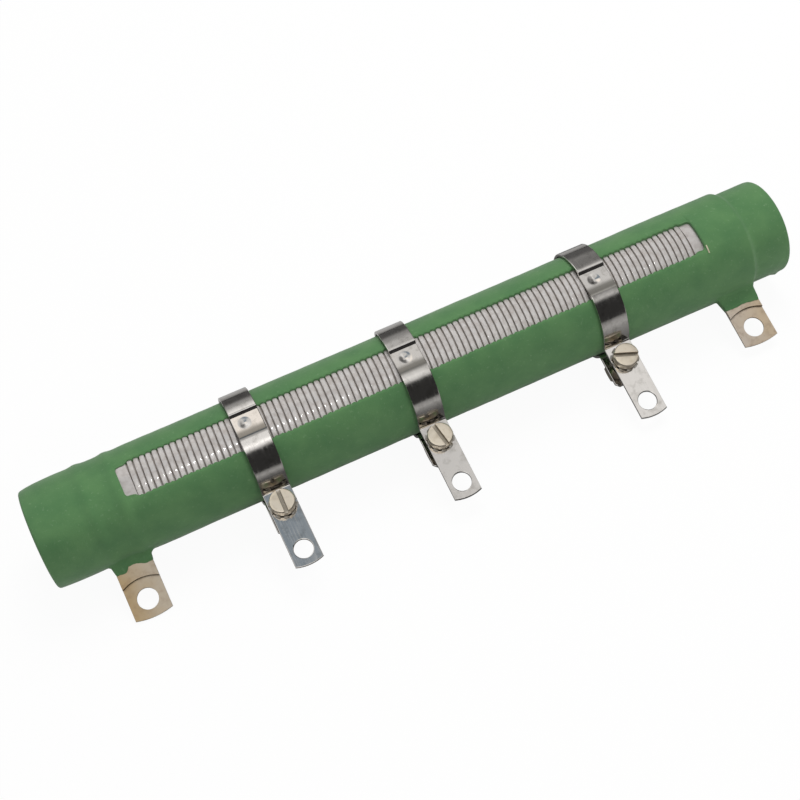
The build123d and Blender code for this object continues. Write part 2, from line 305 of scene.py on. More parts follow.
@dataclass(frozen=True)
class DrawnWire(Finish):
    """Drawn nickel-chrome resistance wire, dulled by firing: a chalky grey oxide over satin metal."""

    name: str = "drawn_resistance_wire"
    colour: str = "#C6C2BF"
    stained: str = "#B7B0AB"
    metal_share: float = 0.35
    roughness: float = 0.4
    stain_roughness: float = 0.54
    stain: Pattern = Pattern(1.6, 0.42, 0.7)

    def shader(self, tree: Tree, place: Socket) -> Node:
        """Satin grey metal with a firing stain that changes from turn to turn.

        Args:
            tree: The material's node tree.
            place: The point in the frame, in metres.

        Returns:
            The surface shader.
        """
        share = self.stain.share(tree, place)
        base = blend(tree, share, self.colour, self.stained)
        levels = {"Value": share, "To Min": self.roughness, "To Max": self.stain_roughness}
        inputs = {"Base Color": base, "Metallic": self.metal_share}
        inputs |= {"Roughness": add_node(tree, "MapRange", levels)}
        glaze = {"Coat Weight": 0.6, "Coat IOR": 1.6, "Coat Roughness": 0.055}
        return add_node(tree, "BsdfPrincipled", inputs | glaze)


@dataclass(frozen=True)
class BrightNickel(Finish):
    """Bright nickel plate on rolled spring strip: a near mirror with hairline marks and dust."""

    name: str = "bright_nickel_strip"
    colour: str = "#D9D5D0"
    haze: str = "#BBB7B1"
    # Colour of the shade painted into the fold below the pad.
    tarnish: str = "#817E78"
    dust: Pattern = Pattern(2.2, 0.5, 0.75, detail=4.0, crumble=0.6)
    hairlines: Pattern = Pattern(0.35, 0.45, 0.75, bottom=0.11, top=0.2, detail=2.0)
    hairline_stretch: float = 0.04
    ripple: Relief = Relief(3.2, 0.022, 0.6)

    def shader(self, tree: Tree, place: Socket) -> Node:
        """Clear reflections, broken by hairlines and by the slight ripple of a bent strip, with shade
        painted darker into the fold below the pad.

        Args:
            tree: The material's node tree.
            place: The point in the frame, in metres.

        Returns:
            The surface shader.
        """
        base = blend(tree, self.dust.share(tree, place), self.colour, self.haze)
        # Painted shade: the fold below the pad is darkened through a mesh attribute.
        fold_shade_share = add_node(tree, "Attribute", attribute_name="tarnish").outputs["Fac"]
        base = blend(tree, fold_shade_share, base, self.tarnish)
        scale = (1.0, self.hairline_stretch, self.hairline_stretch)
        stretched = add_node(tree, "Mapping", {"Vector": place, "Scale": scale})
        inputs = {"Base Color": base, "Metallic": 1.0}
        inputs |= {"Roughness": self.hairlines.share(tree, stretched)}
        return add_node(tree, "BsdfPrincipled", inputs | {"Normal": self.ripple.bump(tree, place)})


@dataclass(frozen=True)
class TarnishedNickel(Finish):
    """Nickel-plated strap that went through the firing: dull, with a tan heat tint and scorches."""

    name: str = "tarnished_nickel_strap"
    tint: str = "#B59E7B"
    plate: str = "#C0B3A0"
    scorch: str = "#9C7F68"
    # Colour of the shade painted into corners and seams.
    crevice_shade_colour: str = "#2E241A"
    crevice_reach: float = 1.1
    heat_span: tuple[float, float] = (87.0, 98.0)
    drift: Pattern = Pattern(6.0, 0.1, 0.9)
    marks: Pattern = Pattern(2.0, 0.5, 0.75, top=0.4, detail=5.0, crumble=0.6)
    dullness: Pattern = Pattern(2.0, 0.3, 0.7, bottom=0.3, top=0.42, detail=5.0, crumble=0.6)

    def shader(self, tree: Tree, place: Socket) -> Node:
        """Dull plate that drifts from tan to grey along the tube, with darker scorch marks and shade
        painted into its corners and seams.

        Args:
            tree: The material's node tree.
            place: The point in the frame, in metres.

        Returns:
            The surface shader.
        """
        along = add_node(tree, "SeparateXYZ", {0: place}).outputs["X"]
        from_middle = add_node(tree, "Math", {0: along}, operation="ABSOLUTE")
        near, far = (edge * MM for edge in self.heat_span)
        span = {"Value": from_middle, "From Min": near, "From Max": far}
        lean = add_node(tree, "MapRange", span | {"To Min": 0.5, "To Max": -0.5})
        base = blend(tree, self.drift.share(tree, place, lean), self.tint, self.plate)
        base = blend(tree, self.marks.share(tree, place), base, self.scorch)
        # Painted shade: corners and the seam under the short leaf are darkened.
        base = self.paint_crevice_shade(tree, base, self.crevice_shade_colour, self.crevice_reach)
        inputs = {"Base Color": base, "Metallic": 1.0}
        inputs |= {"Roughness": self.dullness.share(tree, place)}
        return add_node(tree, "BsdfPrincipled", inputs)


@dataclass(frozen=True)
class TurnedNickel(Finish):
    """Nickel plate on turned screws and nuts: warm white metal, a little dull with handling."""

    name: str = "nickel_plated_screw"
    colour: str = "#F4E8D4"
    shade: str = "#D4C5AC"
    # Colour of the shade painted into slots and corners.
    crevice_shade_colour: str = "#4A4238"
    crevice_reach: float = 1.3
    roughness: float = 0.36
    grime_and_shade: Pattern = Pattern(1.6, 0.5, 0.8, top=0.7)

    def shader(self, tree: Tree, place: Socket) -> Node:
        """Warm bright metal, slightly duller where grime sits, with shade painted dark into slots and
        corners.

        Args:
            tree: The material's node tree.
            place: The point in the frame, in metres.

        Returns:
            The surface shader.
        """
        base = blend(tree, self.grime_and_shade.share(tree, place), self.colour, self.shade)
        # Painted shade: slots and corners are darkened.
        base = self.paint_crevice_shade(tree, base, self.crevice_shade_colour, self.crevice_reach)
        inputs = {"Base Color": base, "Metallic": 1.0, "Roughness": self.roughness}
        return add_node(tree, "BsdfPrincipled", inputs)


@dataclass(frozen=True)
class SpringSteel(Finish):
    """Plated spring steel of the toothed washers: greyer and duller than the screws."""

    name: str = "plated_spring_steel"
    colour: str = "#B4B1AB"
    shade: str = "#7F7B74"
    roughness: float = 0.3
    grime_and_shade: Pattern = Pattern(0.7)

    def shader(self, tree: Tree, place: Socket) -> Node:
        """Grey metal with darker grime.

        Args:
            tree: The material's node tree.
            place: The point in the frame, in metres.

        Returns:
            The surface shader.
        """
        base = blend(tree, self.grime_and_shade.share(tree, place), self.colour, self.shade)
        inputs = {"Base Color": base, "Metallic": 1.0, "Roughness": self.roughness}
        return add_node(tree, "BsdfPrincipled", inputs)


@dataclass(frozen=True)
class Steatite(Finish):
    """Unglazed steatite: an off-white, faintly speckled and dry pressed ceramic."""

    name: str = "unglazed_steatite"
    colour: str = "#D8D2C5"
    fleck: str = "#A89F90"
    roughness: float = 0.62
    flecks: Pattern = Pattern(0.9, 0.55, 0.75, top=0.6)
    # The grain is drawn coarser than the real one, to show at all.
    grain: Relief = Relief(0.5, 0.02, 0.7, detail=2.0)

    def shader(self, tree: Tree, place: Socket) -> Node:
        """Dry off-white with darker flecks and a fine grain.

        Args:
            tree: The material's node tree.
            place: The point in the frame, in metres.

        Returns:
            The surface shader.
        """
        base = blend(tree, self.flecks.share(tree, place), self.colour, self.fleck)
        inputs = {"Base Color": base, "Roughness": self.roughness, "IOR": 1.58}
        return add_node(tree, "BsdfPrincipled", inputs | {"Normal": self.grain.bump(tree, place)})


@dataclass(frozen=True)
class LugFrame:
    """Axes of a lug: along the tube, out along the lug and square to its face."""

    middle: float
    outwards: Vector
    forwards: Vector

    @classmethod
    def of_mount(cls, name: str) -> "LugFrame":
        """Read a lug's axes from the mount of its hole.

        Args:
            name: The mount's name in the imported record.

        Returns:
            The lug's axes.
        """
        mount = next(m for m in frame["record"]["mounts"] if m["name"] == name)
        forwards = Vector(mount["axis"]).normalized()
        return cls(mount["pos_m"][0] / MM, Vector((1, 0, 0)).cross(forwards), forwards)

    def place(self, points: Rows) -> Rows:
        """Take points from the lug's axes, in millimetres, to the frame, in metres."""
        axes = np.array([(1, 0, 0), self.outwards, self.forwards])
        return (points @ axes + (self.middle, 0, 0)) * MM


def tube_frame() -> LugFrame:
    """Find the axes of the tube itself.

    Returns:
        Axes half way between those of the two end lugs.
    """
    sides = [LugFrame.of_mount(f"terminal_{side}_hole") for side in ("left", "right")]
    forwards = (sides[0].forwards + sides[1].forwards).normalized()
    return LugFrame(0.0, Vector((1, 0, 0)).cross(forwards), forwards)


def polar(radius: Rows | float, angle: Rows | float) -> Rows:
    """Reach and offset of each point at a radius and an angle."""
    turn = np.radians(angle)
    return np.stack([radius * np.cos(turn), radius * np.sin(turn)], axis=-1)


def arc(radius: float, start: float, stop: float) -> Rows:
    """Points of an arc round the tube's axis, about one for each degree."""
    return polar(radius, np.linspace(start, stop, max(3, round(abs(stop - start)))))


def bowed_edge(width: float, rise: float, steps: int = 13) -> Rows:
    """Draw a shallow arc across a strip.

    Args:
        width: Width of the strip.
        rise: Height of both edges over the middle.
        steps: Number of points.

    Returns:
        The arc's points.
    """
    radius = ((width / 2) ** 2 + rise**2) / (2 * rise)
    turns = np.linspace(-1, 1, steps) * math.asin(width / 2 / radius)
    return radius * np.column_stack([np.sin(turns), 1 - np.cos(turns)])


def distances(line: Rows) -> Rows:
    """Distance of each point of a line from its start, along the line."""
    return np.concatenate([[0], np.cumsum(np.linalg.norm(np.diff(line, axis=0), axis=1))])


def read_line(wanted: Rows, run: Rows, line: Rows) -> Rows:
    """Values of a line's two columns at the distances that are wanted."""
    return np.column_stack([np.interp(wanted, run, line[:, k]) for k in (0, 1)])


def unit(rows: Rows) -> Rows:
    """The same directions with a length of 1."""
    return rows / np.linalg.norm(rows, axis=-1, keepdims=True)


def smooth_step(values: Rows, low: float, high: float) -> Rows:
    """Rise smoothly from 0 at one value to 1 at another."""
    share = np.clip((values - low) / (high - low), 0, 1)
    return share * share * (3 - 2 * share)


def put(name: str, data: bpy.types.ID) -> Object:
    """Add an object to the scene.

    Args:
        name: The object's name.
        data: Its mesh, curve, lamp or camera.

    Returns:
        The object.
    """
    made = bpy.data.objects.new(name, data)
    bpy.context.scene.collection.objects.link(made)
    return made


@dataclass
class Solid:
    """Points and faces of a closed surface."""

    points: Rows
    faces: list[Face]

    def mesh(self, name: str) -> bpy.types.Mesh:
        """Make a mesh, with its faces turned outwards.

        Args:
            name: The mesh's name.

        Returns:
            The mesh.
        """
        mesh = bpy.data.meshes.new(name)
        mesh.from_pydata(self.points.tolist(), [], self.faces)
        work = bmesh.new()
        work.from_mesh(mesh)
        bmesh.ops.recalc_face_normals(work, faces=work.faces)
        work.to_mesh(mesh)
        work.free()
        return mesh

    def joined(self, other: "Solid") -> "Solid":
        """Both surfaces as one."""
        shifted = [tuple(i + len(self.points) for i in face) for face in other.faces]
        return Solid(np.vstack([self.points, other.points]), self.faces + shifted)

    def without(self, tool: "Solid", edge_round: float, edge_angle: float = 32.0) -> "Solid":
        """Cut with another solid and round the sharp edges.

        Args:
            tool: The other solid.
            edge_round: Width of the rounding.
            edge_angle: Angle above which an edge is sharp.

        Returns:
            The solid that is left.
        """
        base, cutter = put("blank", self.mesh("blank")), put("cutter", tool.mesh("cutter"))
        cut = base.modifiers.new("cut", "BOOLEAN")
        cut.operation = "DIFFERENCE"
        cut.solver = "EXACT"
        cut.object = cutter
        soften = base.modifiers.new("soften", "BEVEL")
        soften.width = edge_round
        soften.segments = 2
        soften.limit_method = "ANGLE"
        soften.angle_limit = math.radians(edge_angle)
        made = evaluated(base)
        for one in (base, cutter):
            bpy.data.objects.remove(one)
        return made


def evaluated(source: Object) -> Solid:
    """Read the shape of an object with its modifiers.

    Args:
        source: The object.

    Returns:
        Its points and faces.
    """
    bpy.context.view_layer.update()
    graph = bpy.context.evaluated_depsgraph_get()
    mesh = bpy.data.meshes.new_from_object(source.evaluated_get(graph))
    points = np.array([v.co for v in mesh.vertices], float).reshape(-1, 3)
    faces = [tuple(p.vertices) for p in mesh.polygons]
    bpy.data.meshes.remove(mesh)
    return Solid(points, faces)


def quads(rows: int, columns: int, wrap_rows: bool = False, wrap_columns: bool = True) -> Rows:
    """Corner numbers of the faces of a grid of points.

    Args:
        rows: Number of rows of points.
        columns: Number of points in a row.
        wrap_rows: Whether the last row joins the first.
        wrap_columns: Whether the last point of a row joins its first.

    Returns:
        Four numbers for each face, by row and column.
    """
    grid = np.arange(rows * columns).reshape(rows, columns)
    grid = np.pad(grid, ((0, int(wrap_rows)), (0, int(wrap_columns))), mode="wrap")
    return np.stack([grid[:-1, :-1], grid[:-1, 1:], grid[1:, 1:], grid[1:, :-1]], axis=-1)


def as_faces(corners: Rows) -> list[Face]:
    """Corner numbers as a list of faces."""
    return [tuple(face) for face in corners.reshape(-1, 4).tolist()]


def capped(rows: int, count: int) -> list[Face]:
    """Faces of a bar made of equal rings of points, with a cap at each end."""
    ends = [tuple(range(count)), tuple(range((rows - 1) * count, rows * count))]
    return as_faces(quads(rows, count)) + ends


def rings(section: list[tuple[object, object]], angles: Rows) -> Rows:
    """Points of a section, radius and height of each ring, turned round the third axis."""
    made = [np.column_stack([polar(r, angles), height + 0 * angles]) for r, height in section]
    return np.vstack(made)


def lathe(outline: list[tuple[float, float]], steps: int) -> Solid:
    """Turn an outline into a solid.

    Args:
        outline: Radius and height of each point, from one pole of the solid to the other.
        steps: Number of steps in a turn.

    Returns:
        The turned solid.
    """
    inner = outline[1:-1]
    poles = [(0, 0, outline[0][1]), (0, 0, outline[-1][1])]
    points = np.vstack([rings(inner, np.arange(steps) * 360 / steps), poles])
    first_pole, last_pole = len(points) - 2, len(points) - 1
    last_ring = (len(inner) - 1) * steps
    faces = as_faces(quads(len(inner), steps))
    for i in range(steps):
        j = (i + 1) % steps
        faces += [(first_pole, j, i), (last_pole, last_ring + i, last_ring + j)]
    return Solid(points, faces)


def block(size: Triple, centre: Triple) -> Solid:
    """Make a block.

    Args:
        size: Its length on each axis.
        centre: Its middle.

    Returns:
        The block.
    """
    steps = [(-0.5, -0.5), (0.5, -0.5), (0.5, 0.5), (-0.5, 0.5)]
    points = np.array([(x, y, z) for z in (-0.5, 0.5) for x, y in steps])
    return Solid(points * size + centre, capped(2, 4))


@dataclass(frozen=True)
class Unevenness:
    """Smooth seeded unevenness of a surface made by hand, from -1 to 1."""

    seed: int
    wavelength: float
    waves: int = 14

    def at(self, points: Rows) -> Rows:
        """Read the unevenness.

        Args:
            points: Rows of coordinates in millimetres.

        Returns:
            One value for each row.
        """
        draw = np.random.default_rng(self.seed)
        total = np.zeros(len(points))
        for _ in range(self.waves):
            heading = draw.normal(size=points.shape[1])
            heading /= np.linalg.norm(heading)
            pace = 2 * math.pi / (self.wavelength * draw.uniform(0.6, 1.6))
            total += np.sin(points @ heading * pace + draw.uniform(0, 2 * math.pi))
        return total / math.sqrt(2 * self.waves)


def show(name: str, solid: Solid, finish: Finish, body: str, crease: float = 35.0) -> Object:
    """Make a piece of the object, in place and dressed.

    Args:
        name: The piece's name.
        solid: Its shape, already in the frame and in metres.
        finish: Its finish.
        body: The body that it moves with.
        crease: Angle above which an edge stays sharp.

    Returns:
        The piece.
    """
    mesh = solid.mesh(name)
    mesh.shade_smooth()
    mesh.set_sharp_from_angle(angle=math.radians(crease))
    mesh.materials.append(finish.material())
    piece = put(name, mesh)
    piece.modifiers.new("even_normals", "WEIGHTED_NORMAL").keep_sharp = True
    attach(piece, body)
    triangles = sum(len(face) - 2 for face in solid.faces)
    log.info("%s: %d triangles, rides on %s", name, triangles, body)
    return piece


@dataclass
class StripPath:
    """Middle line of a bent strip, in reach and offset, with rounded corners."""

    pieces: list[Rows]
    setbacks: list[float]
    spacing: float = 0.05

    def line(self) -> Rows:
        """Join the pieces, with each corner rounded.

        Returns:
            Points close together along the whole strip.
        """
        joined = [self.resampled(self.pieces[0])]
        for piece, setback in zip(self.pieces[1:], self.setbacks):
            cut = max(2, round(setback / self.spacing))
            before, after = joined[-1][:-cut], self.resampled(piece)[cut:]
            start, stop = before[-1], after[0]
            reach = np.linalg.norm(stop - start)
            leave = unit(before[-1] - before[-2]) * reach
            arrive = unit(after[1] - after[0]) * reach
            t = np.linspace(0, 1, 2 * cut)[1:-1, None]
            corner = (2 * t**3 - 3 * t**2 + 1) * start + (t**3 - 2 * t**2 + t) * leave
            corner = corner + (3 * t**2 - 2 * t**3) * stop + (t**3 - t**2) * arrive
            joined[-1:] = [before, corner, after]
        return np.vstack(joined)

    def resampled(self, points: Rows) -> Rows:
        """Space the points of a line evenly.

        Args:
            points: The line's points.

        Returns:
            The same line with other points.
        """
        run = distances(points)
        wanted = np.linspace(0, run[-1], max(2, round(run[-1] / self.spacing)) + 1)
        return read_line(wanted, run, points)


@dataclass
class Dent:
    """A round pressing in a strip, seen as a soft hollow outside and a nub inside."""

    across: float
    along: float
    radius: float
    depth: float
    steps: int = 9

    def marks(self) -> Rows:
        """Distances from the dent's middle at which the strip is divided."""
        return np.linspace(-1.08, 1.08, 2 * self.steps + 1) * self.radius

    def span(self) -> tuple[float, float, float, float]:
        """The pressed square, as its lowest and highest X and Y."""
        half = self.radius * 1.07
        return (self.across - half, self.across + half, self.along - half, self.along + half)

    def depth_at(self, flat: Rows) -> Rows:
        """How deep the strip is pressed at each of its points."""
        away = np.hypot(flat[:, 0] - self.across, flat[:, 1] - self.along) / self.radius
        return self.depth * np.clip(1 - away**2, 0, 1) ** 2.2


@dataclass
class BentStrip:
    """A blank cut from flat strip, with softened edges, then bent along a path."""

    width: float
    thickness: float
    path: Rows
    front_bulge: float
    rear_cut: Rows
    holes: list[tuple[float, float]]
    edge_round: float
    bend_step: float = 0.9
    sharp_bend: float = 4.0
    slight_bend: float = 0.5
    hole_steps: int = 56

    def __post_init__(self) -> None:
        """Measure the path."""
        self.run = distances(self.path)
        self.length = float(self.run[-1])

    def blank(self) -> bmesh.types.BMesh:
        """Cut the flat blank.

        Returns:
            The blank, with its width on X, its length on Y and its thickness on Z.
        """
        curve = bpy.data.curves.new("blank", "CURVE")
        curve.dimensions = "2D"
        curve.fill_mode = "BOTH"
        curve.extrude = self.thickness / 2 - self.edge_round
        curve.bevel_depth = self.edge_round
        curve.bevel_resolution = 1
        curve.offset = -self.edge_round
        rear = (self.rear_cut * (1, -1) + (0, self.length))[::-1]
        loops = [np.vstack([bowed_edge(self.width, self.front_bulge), rear])]
        turns = np.arange(self.hole_steps) * 360 / self.hole_steps
        loops += [polar(radius, turns) + (0, along) for along, radius in self.holes]
        for loop in loops:
            spline = curve.splines.new("POLY")
            spline.points.add(len(loop) - 1)
            for point, (x, y) in zip(spline.points, loop):
                point.co = (x, y, 0, 1)
            spline.use_cyclic_u = True
        holder = put("blank", curve)
        made = evaluated(holder).mesh("blank")
        bpy.data.objects.remove(holder)
        work = bmesh.new()
        work.from_mesh(made)
        bpy.data.meshes.remove(made)
        bmesh.ops.remove_doubles(work, verts=work.verts, dist=0.002)
        flat = {"verts": list(work.verts), "edges": list(work.edges)}
        bmesh.ops.dissolve_limit(work, angle_limit=math.radians(1), **flat)
        return work

    def cuts(self) -> list[float]:
        """Choose where the strip is divided before bending.

        Returns:
            Distances along the strip.
        """
        turn = np.degrees(np.unwrap(np.arctan2(*np.gradient(self.path, axis=0).T[::-1])))
        marks, last_run, last_turn = [], 0.0, turn[0]
        for run, now in zip(self.run, turn):
            bent, far = abs(now - last_turn), run - last_run > self.bend_step
            if bent > self.sharp_bend or (bent > self.slight_bend and far):
                marks.append(run)
                last_run, last_turn = run, now
        return marks

    def bent(self, dents: list[Dent]) -> Solid:
        """Divide the blank, press its dents and bend it along the path.

        Args:
            dents: Pressings in the strip.

        Returns:
            The strip in the lug's axes.
        """
        work = self.blank()
        for mark in self.cuts():
            self.divide(work, (0, mark, 0), (0, 1, 0))
        for dent in dents:
            for step in dent.marks():
                self.divide(work, (0, dent.along + step, 0), (0, 1, 0))
            for step in dent.marks():
                self.divide(work, (dent.across + step, 0, 0), (1, 0, 0), dent.span())
        flat = np.array([v.co for v in work.verts], float)
        faces = [tuple(v.index for v in f.verts) for f in work.faces]
        work.free()
        for dent in dents:
            flat[:, 2] -= dent.depth_at(flat)
        along = np.clip(flat[:, 1], 0, self.length)
        middle = read_line(along, self.run, self.path)
        course = unit(read_line(along, self.run, unit(np.gradient(self.path, axis=0))))
        section = middle + course[:, ::-1] * (1, -1) * flat[:, 2:3]
        return Solid(np.column_stack([flat[:, 0], section]), faces)

    @staticmethod
    def divide(
        work: bmesh.types.BMesh,
        point: Triple,
        normal: Triple,
        span: tuple[float, float, float, float] = (-math.inf, math.inf, -math.inf, math.inf),
    ) -> None:
        """Divide the blank's faces along a plane.

        Args:
            work: The blank.
            point: A point of the plane.
            normal: The plane's normal.
            span: Lowest and highest X and Y of the faces that are divided.
        """
        low_x, high_x, low_y, high_y = span
        faces = []
        for face in work.faces:
            xs, ys = zip(*(v.co.xy for v in face.verts))
            if max(xs) > low_x and min(xs) < high_x and max(ys) > low_y and min(ys) < high_y:
                faces.append(face)
        edges = {e for f in faces for e in f.edges}
        verts = {v for f in faces for v in f.verts}
        parts = faces + list(edges) + list(verts)
        bmesh.ops.bisect_plane(work, geom=parts, plane_co=point, plane_no=normal, dist=1e-5)


@dataclass
class TapPiece:
    """A piece of a tap, which rides on the tap's own body."""

    tap: str
    axes: LugFrame
    finish: Finish
    screw_reach: float = 20.4

    def dressed(self, solid: Solid, piece: str, node: str, slot: Slot, crease: float) -> Object:
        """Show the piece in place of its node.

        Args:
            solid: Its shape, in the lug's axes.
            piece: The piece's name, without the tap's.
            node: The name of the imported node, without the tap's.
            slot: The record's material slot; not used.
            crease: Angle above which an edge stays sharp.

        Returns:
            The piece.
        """
        solid.points = self.axes.place(solid.points)
        made = show(f"{self.tap}_{piece}", solid, self.finish, self.tap, crease)
        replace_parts(made, f"{self.tap}_{node}")
        return made

    def on_screw(self, points: Rows, seat: float) -> Rows:
        """Points round the screw's axis, taken to the lug's axes. Their second axis runs inwards."""
        return points * (1, -1, 1) + (0, self.screw_reach, seat)


@dataclass
class TapBand(TapPiece):
    """The clamp of a tap: one strip bent into a long lug, a contact pad, a band and a short leaf."""

    width: float = 8.0
    thickness: float = 0.8
    band_radius: float = 15.6
    leaf_offset: float = 3.2
    leaf_reach: float = 38.7
    rear_reach: float = 25.8
    rear_chamfer: float = 1.1
    end_bulge: float = 0.7
    pad_distance: float = 14.6
    pad_normal: float = 98.0
    joggle_low: float = 104.2
    joggle_high: float = 106.7
    fold_high: float = 78.0
    fold_low: float = 82.6
    bend_setback: float = 0.85
    fold_setback: float = 0.55
    joggle_setback: float = 0.2
    screw_hole: float = 2.25
    lug_hole_reach: float = 34.0
    lug_hole: float = 2.65
    edge_round: float = 0.19
    dent_angle: float = 93.0
    dent_shift: float = -0.7
    dent_radius: float = 2.1
    dent_depth: float = 0.34
    skew: float = 0.0
    skew_end: float = 345.0
    # Angles where the painted shade in the fold below the pad rises and falls.
    fold_shade_rise: tuple[float, float] = (74.5, 79.0)
    fold_shade_fall: tuple[float, float] = (82.0, 88.5)

    def path(self) -> Rows:
        """Lay out the middle line of the strip.

        Returns:
            The line's points, from the lug's tip to the short leaf's tip.
        """
        bend_reach = math.sqrt(self.band_radius**2 - self.leaf_offset**2)
        bend_angle = math.degrees(math.asin(self.leaf_offset / self.band_radius))
        fold, joggle = (
            polar(self.pad_distance / math.cos(math.radians(angle - self.pad_normal)), angle)
            for angle in (self.fold_low, self.joggle_low)
        )
        pieces = [
            np.array([(self.leaf_reach, self.leaf_offset), (bend_reach, self.leaf_offset)]),
            arc(self.band_radius, bend_angle, self.fold_high),
            np.array([polar(self.band_radius, self.fold_high), fold]),
            np.array([fold, joggle]),
            np.array([joggle, polar(self.band_radius, self.joggle_high)]),
            arc(self.band_radius, self.joggle_high, 360 - bend_angle),
            np.array([(bend_reach, -self.leaf_offset), (self.rear_reach, -self.leaf_offset)]),
        ]
        pad = [self.fold_setback, self.fold_setback, self.joggle_setback / 2, self.joggle_setback]
        return StripPath(pieces, [self.bend_setback, *pad, self.bend_setback]).line()

    def strip(self) -> BentStrip:
        """Give the strip its holes and ends.

        Returns:
            The strip, ready to bend.
        """
        path = self.path()
        half, chamfer = self.width / 2, self.rear_chamfer
        clipped = [(-half, chamfer), (chamfer - half, 0), (half - chamfer, 0), (half, chamfer)]
        holes = [
            (self.leaf_reach - self.lug_hole_reach, self.lug_hole),
            (self.leaf_reach - self.screw_reach, self.screw_hole),
            (distances(path)[-1] - self.rear_reach + self.screw_reach, self.screw_hole),
        ]
        ends = (self.end_bulge, np.array(clipped))
        return BentStrip(self.width, self.thickness, path, *ends, holes, self.edge_round)

    def skew_at(self, angle: Rows) -> Rows:
        """Sideways shift of the band, which sits a little askew behind the pad."""
        share = (angle % 360 - self.joggle_high) / (self.skew_end - self.joggle_high)
        return self.skew * np.sin(np.clip(share, 0, 1) * math.pi) ** 2

    def painted_fold_shade_at(self, angle: Rows) -> Rows:
        """Share of shade painted into the fold below the pad."""
        return smooth_step(angle, *self.fold_shade_rise) * (1 - smooth_step(angle, *self.fold_shade_fall))

    def build(self) -> Object:
        """Bend the strip and place it.

        Returns:
            The band.
        """
        strip = self.strip()
        angles = np.degrees(np.arctan2(strip.path[:, 1], strip.path[:, 0]))
        dent_at = float(strip.run[int(np.argmin(np.abs(angles - self.dent_angle)))])
        solid = strip.bent([Dent(self.dent_shift, dent_at, self.dent_radius, self.dent_depth)])
        angle = np.degrees(np.arctan2(solid.points[:, 2], solid.points[:, 1]))
        solid.points[:, 0] += self.skew_at(angle)
        band = self.dressed(solid, "clamp", "band", Slot.STRIP, 20)
        # Painted shade: this mask gives the fold below the pad a darker colour.
        tarnish = band.data.attributes.new("tarnish", "FLOAT", "POINT")
        tarnish.data.foreach_set("value", self.painted_fold_shade_at(angle))
        return band


@dataclass
class TapScrew(TapPiece):
    """A slotted cheese-head screw with its threaded shank."""

    slot_angle: float = 0.0
    seat: float = 4.2
    length: float = 12.0
    head_radius: float = 3.5
    head_height: float = 2.6
    head_round: float = 0.4
    foot_chamfer: float = 0.1
    head_steps: int = 72
    slot_width: float = 1.2
    slot_depth: float = 1.1
    slot_edge_round: float = 0.07
    shank_radius: float = 2.0
    shank_steps: int = 36
    rows_per_turn: int = 8
    thread_pitch: float = 0.7
    thread_depth: float = 0.38
    tip_length: float = 0.5

    def head(self) -> Solid:
        """Turn the head and cut its slot.

        Returns:
            The head, standing on its seat.
        """
        top, radius, foot = self.head_height, self.head_radius, self.foot_chamfer
        rounding = polar(self.head_round, np.linspace(90, 0, 5)) + (radius, top) - self.head_round
        outline = [(0, top), (radius / 2, top), *map(tuple, rounding)]
        outline += [(radius, foot), (radius - foot, 0), (0, 0)]
        slot = block((3 * radius, self.slot_width, 2 * self.slot_depth), (0, 0, top))
        return lathe(outline, self.head_steps).without(slot, self.slot_edge_round)

    def shank(self) -> Solid:
        """Cut the thread as a helical groove in a rod.

        Returns:
            The shank, from its seat down.
        """
        rows = round(self.length * self.rows_per_turn / self.thread_pitch)
        heights = -np.arange(rows + 1) * self.length / rows
        turns = np.arange(self.shank_steps) / self.shank_steps
        phase = (heights[:, None] / self.thread_pitch + turns[None, :]) % 1
        groove = self.thread_depth * (1 - np.abs(2 * phase - 1)) ** 1.2
        taper = np.clip((heights + self.length) / self.tip_length, 0, 1)[:, None]
        limit = self.shank_radius - self.tip_length * (1 - taper)
        radii = np.minimum(self.shank_radius - groove, limit)
        points = rings(list(zip(radii, heights)), 360 * turns)
        return Solid(points, capped(rows + 1, self.shank_steps))

    def build(self) -> Object:
        """Make and place the screw.

        Returns:
            The screw.
        """
        solid = self.head().joined(self.shank())
        turn = Matrix.Rotation(math.radians(self.slot_angle), 3, "Z")
        solid.points = self.on_screw(solid.points @ np.array(turn).T, self.seat)
        return self.dressed(solid, "slotted_screw", "screw", Slot.SCREW, 30)


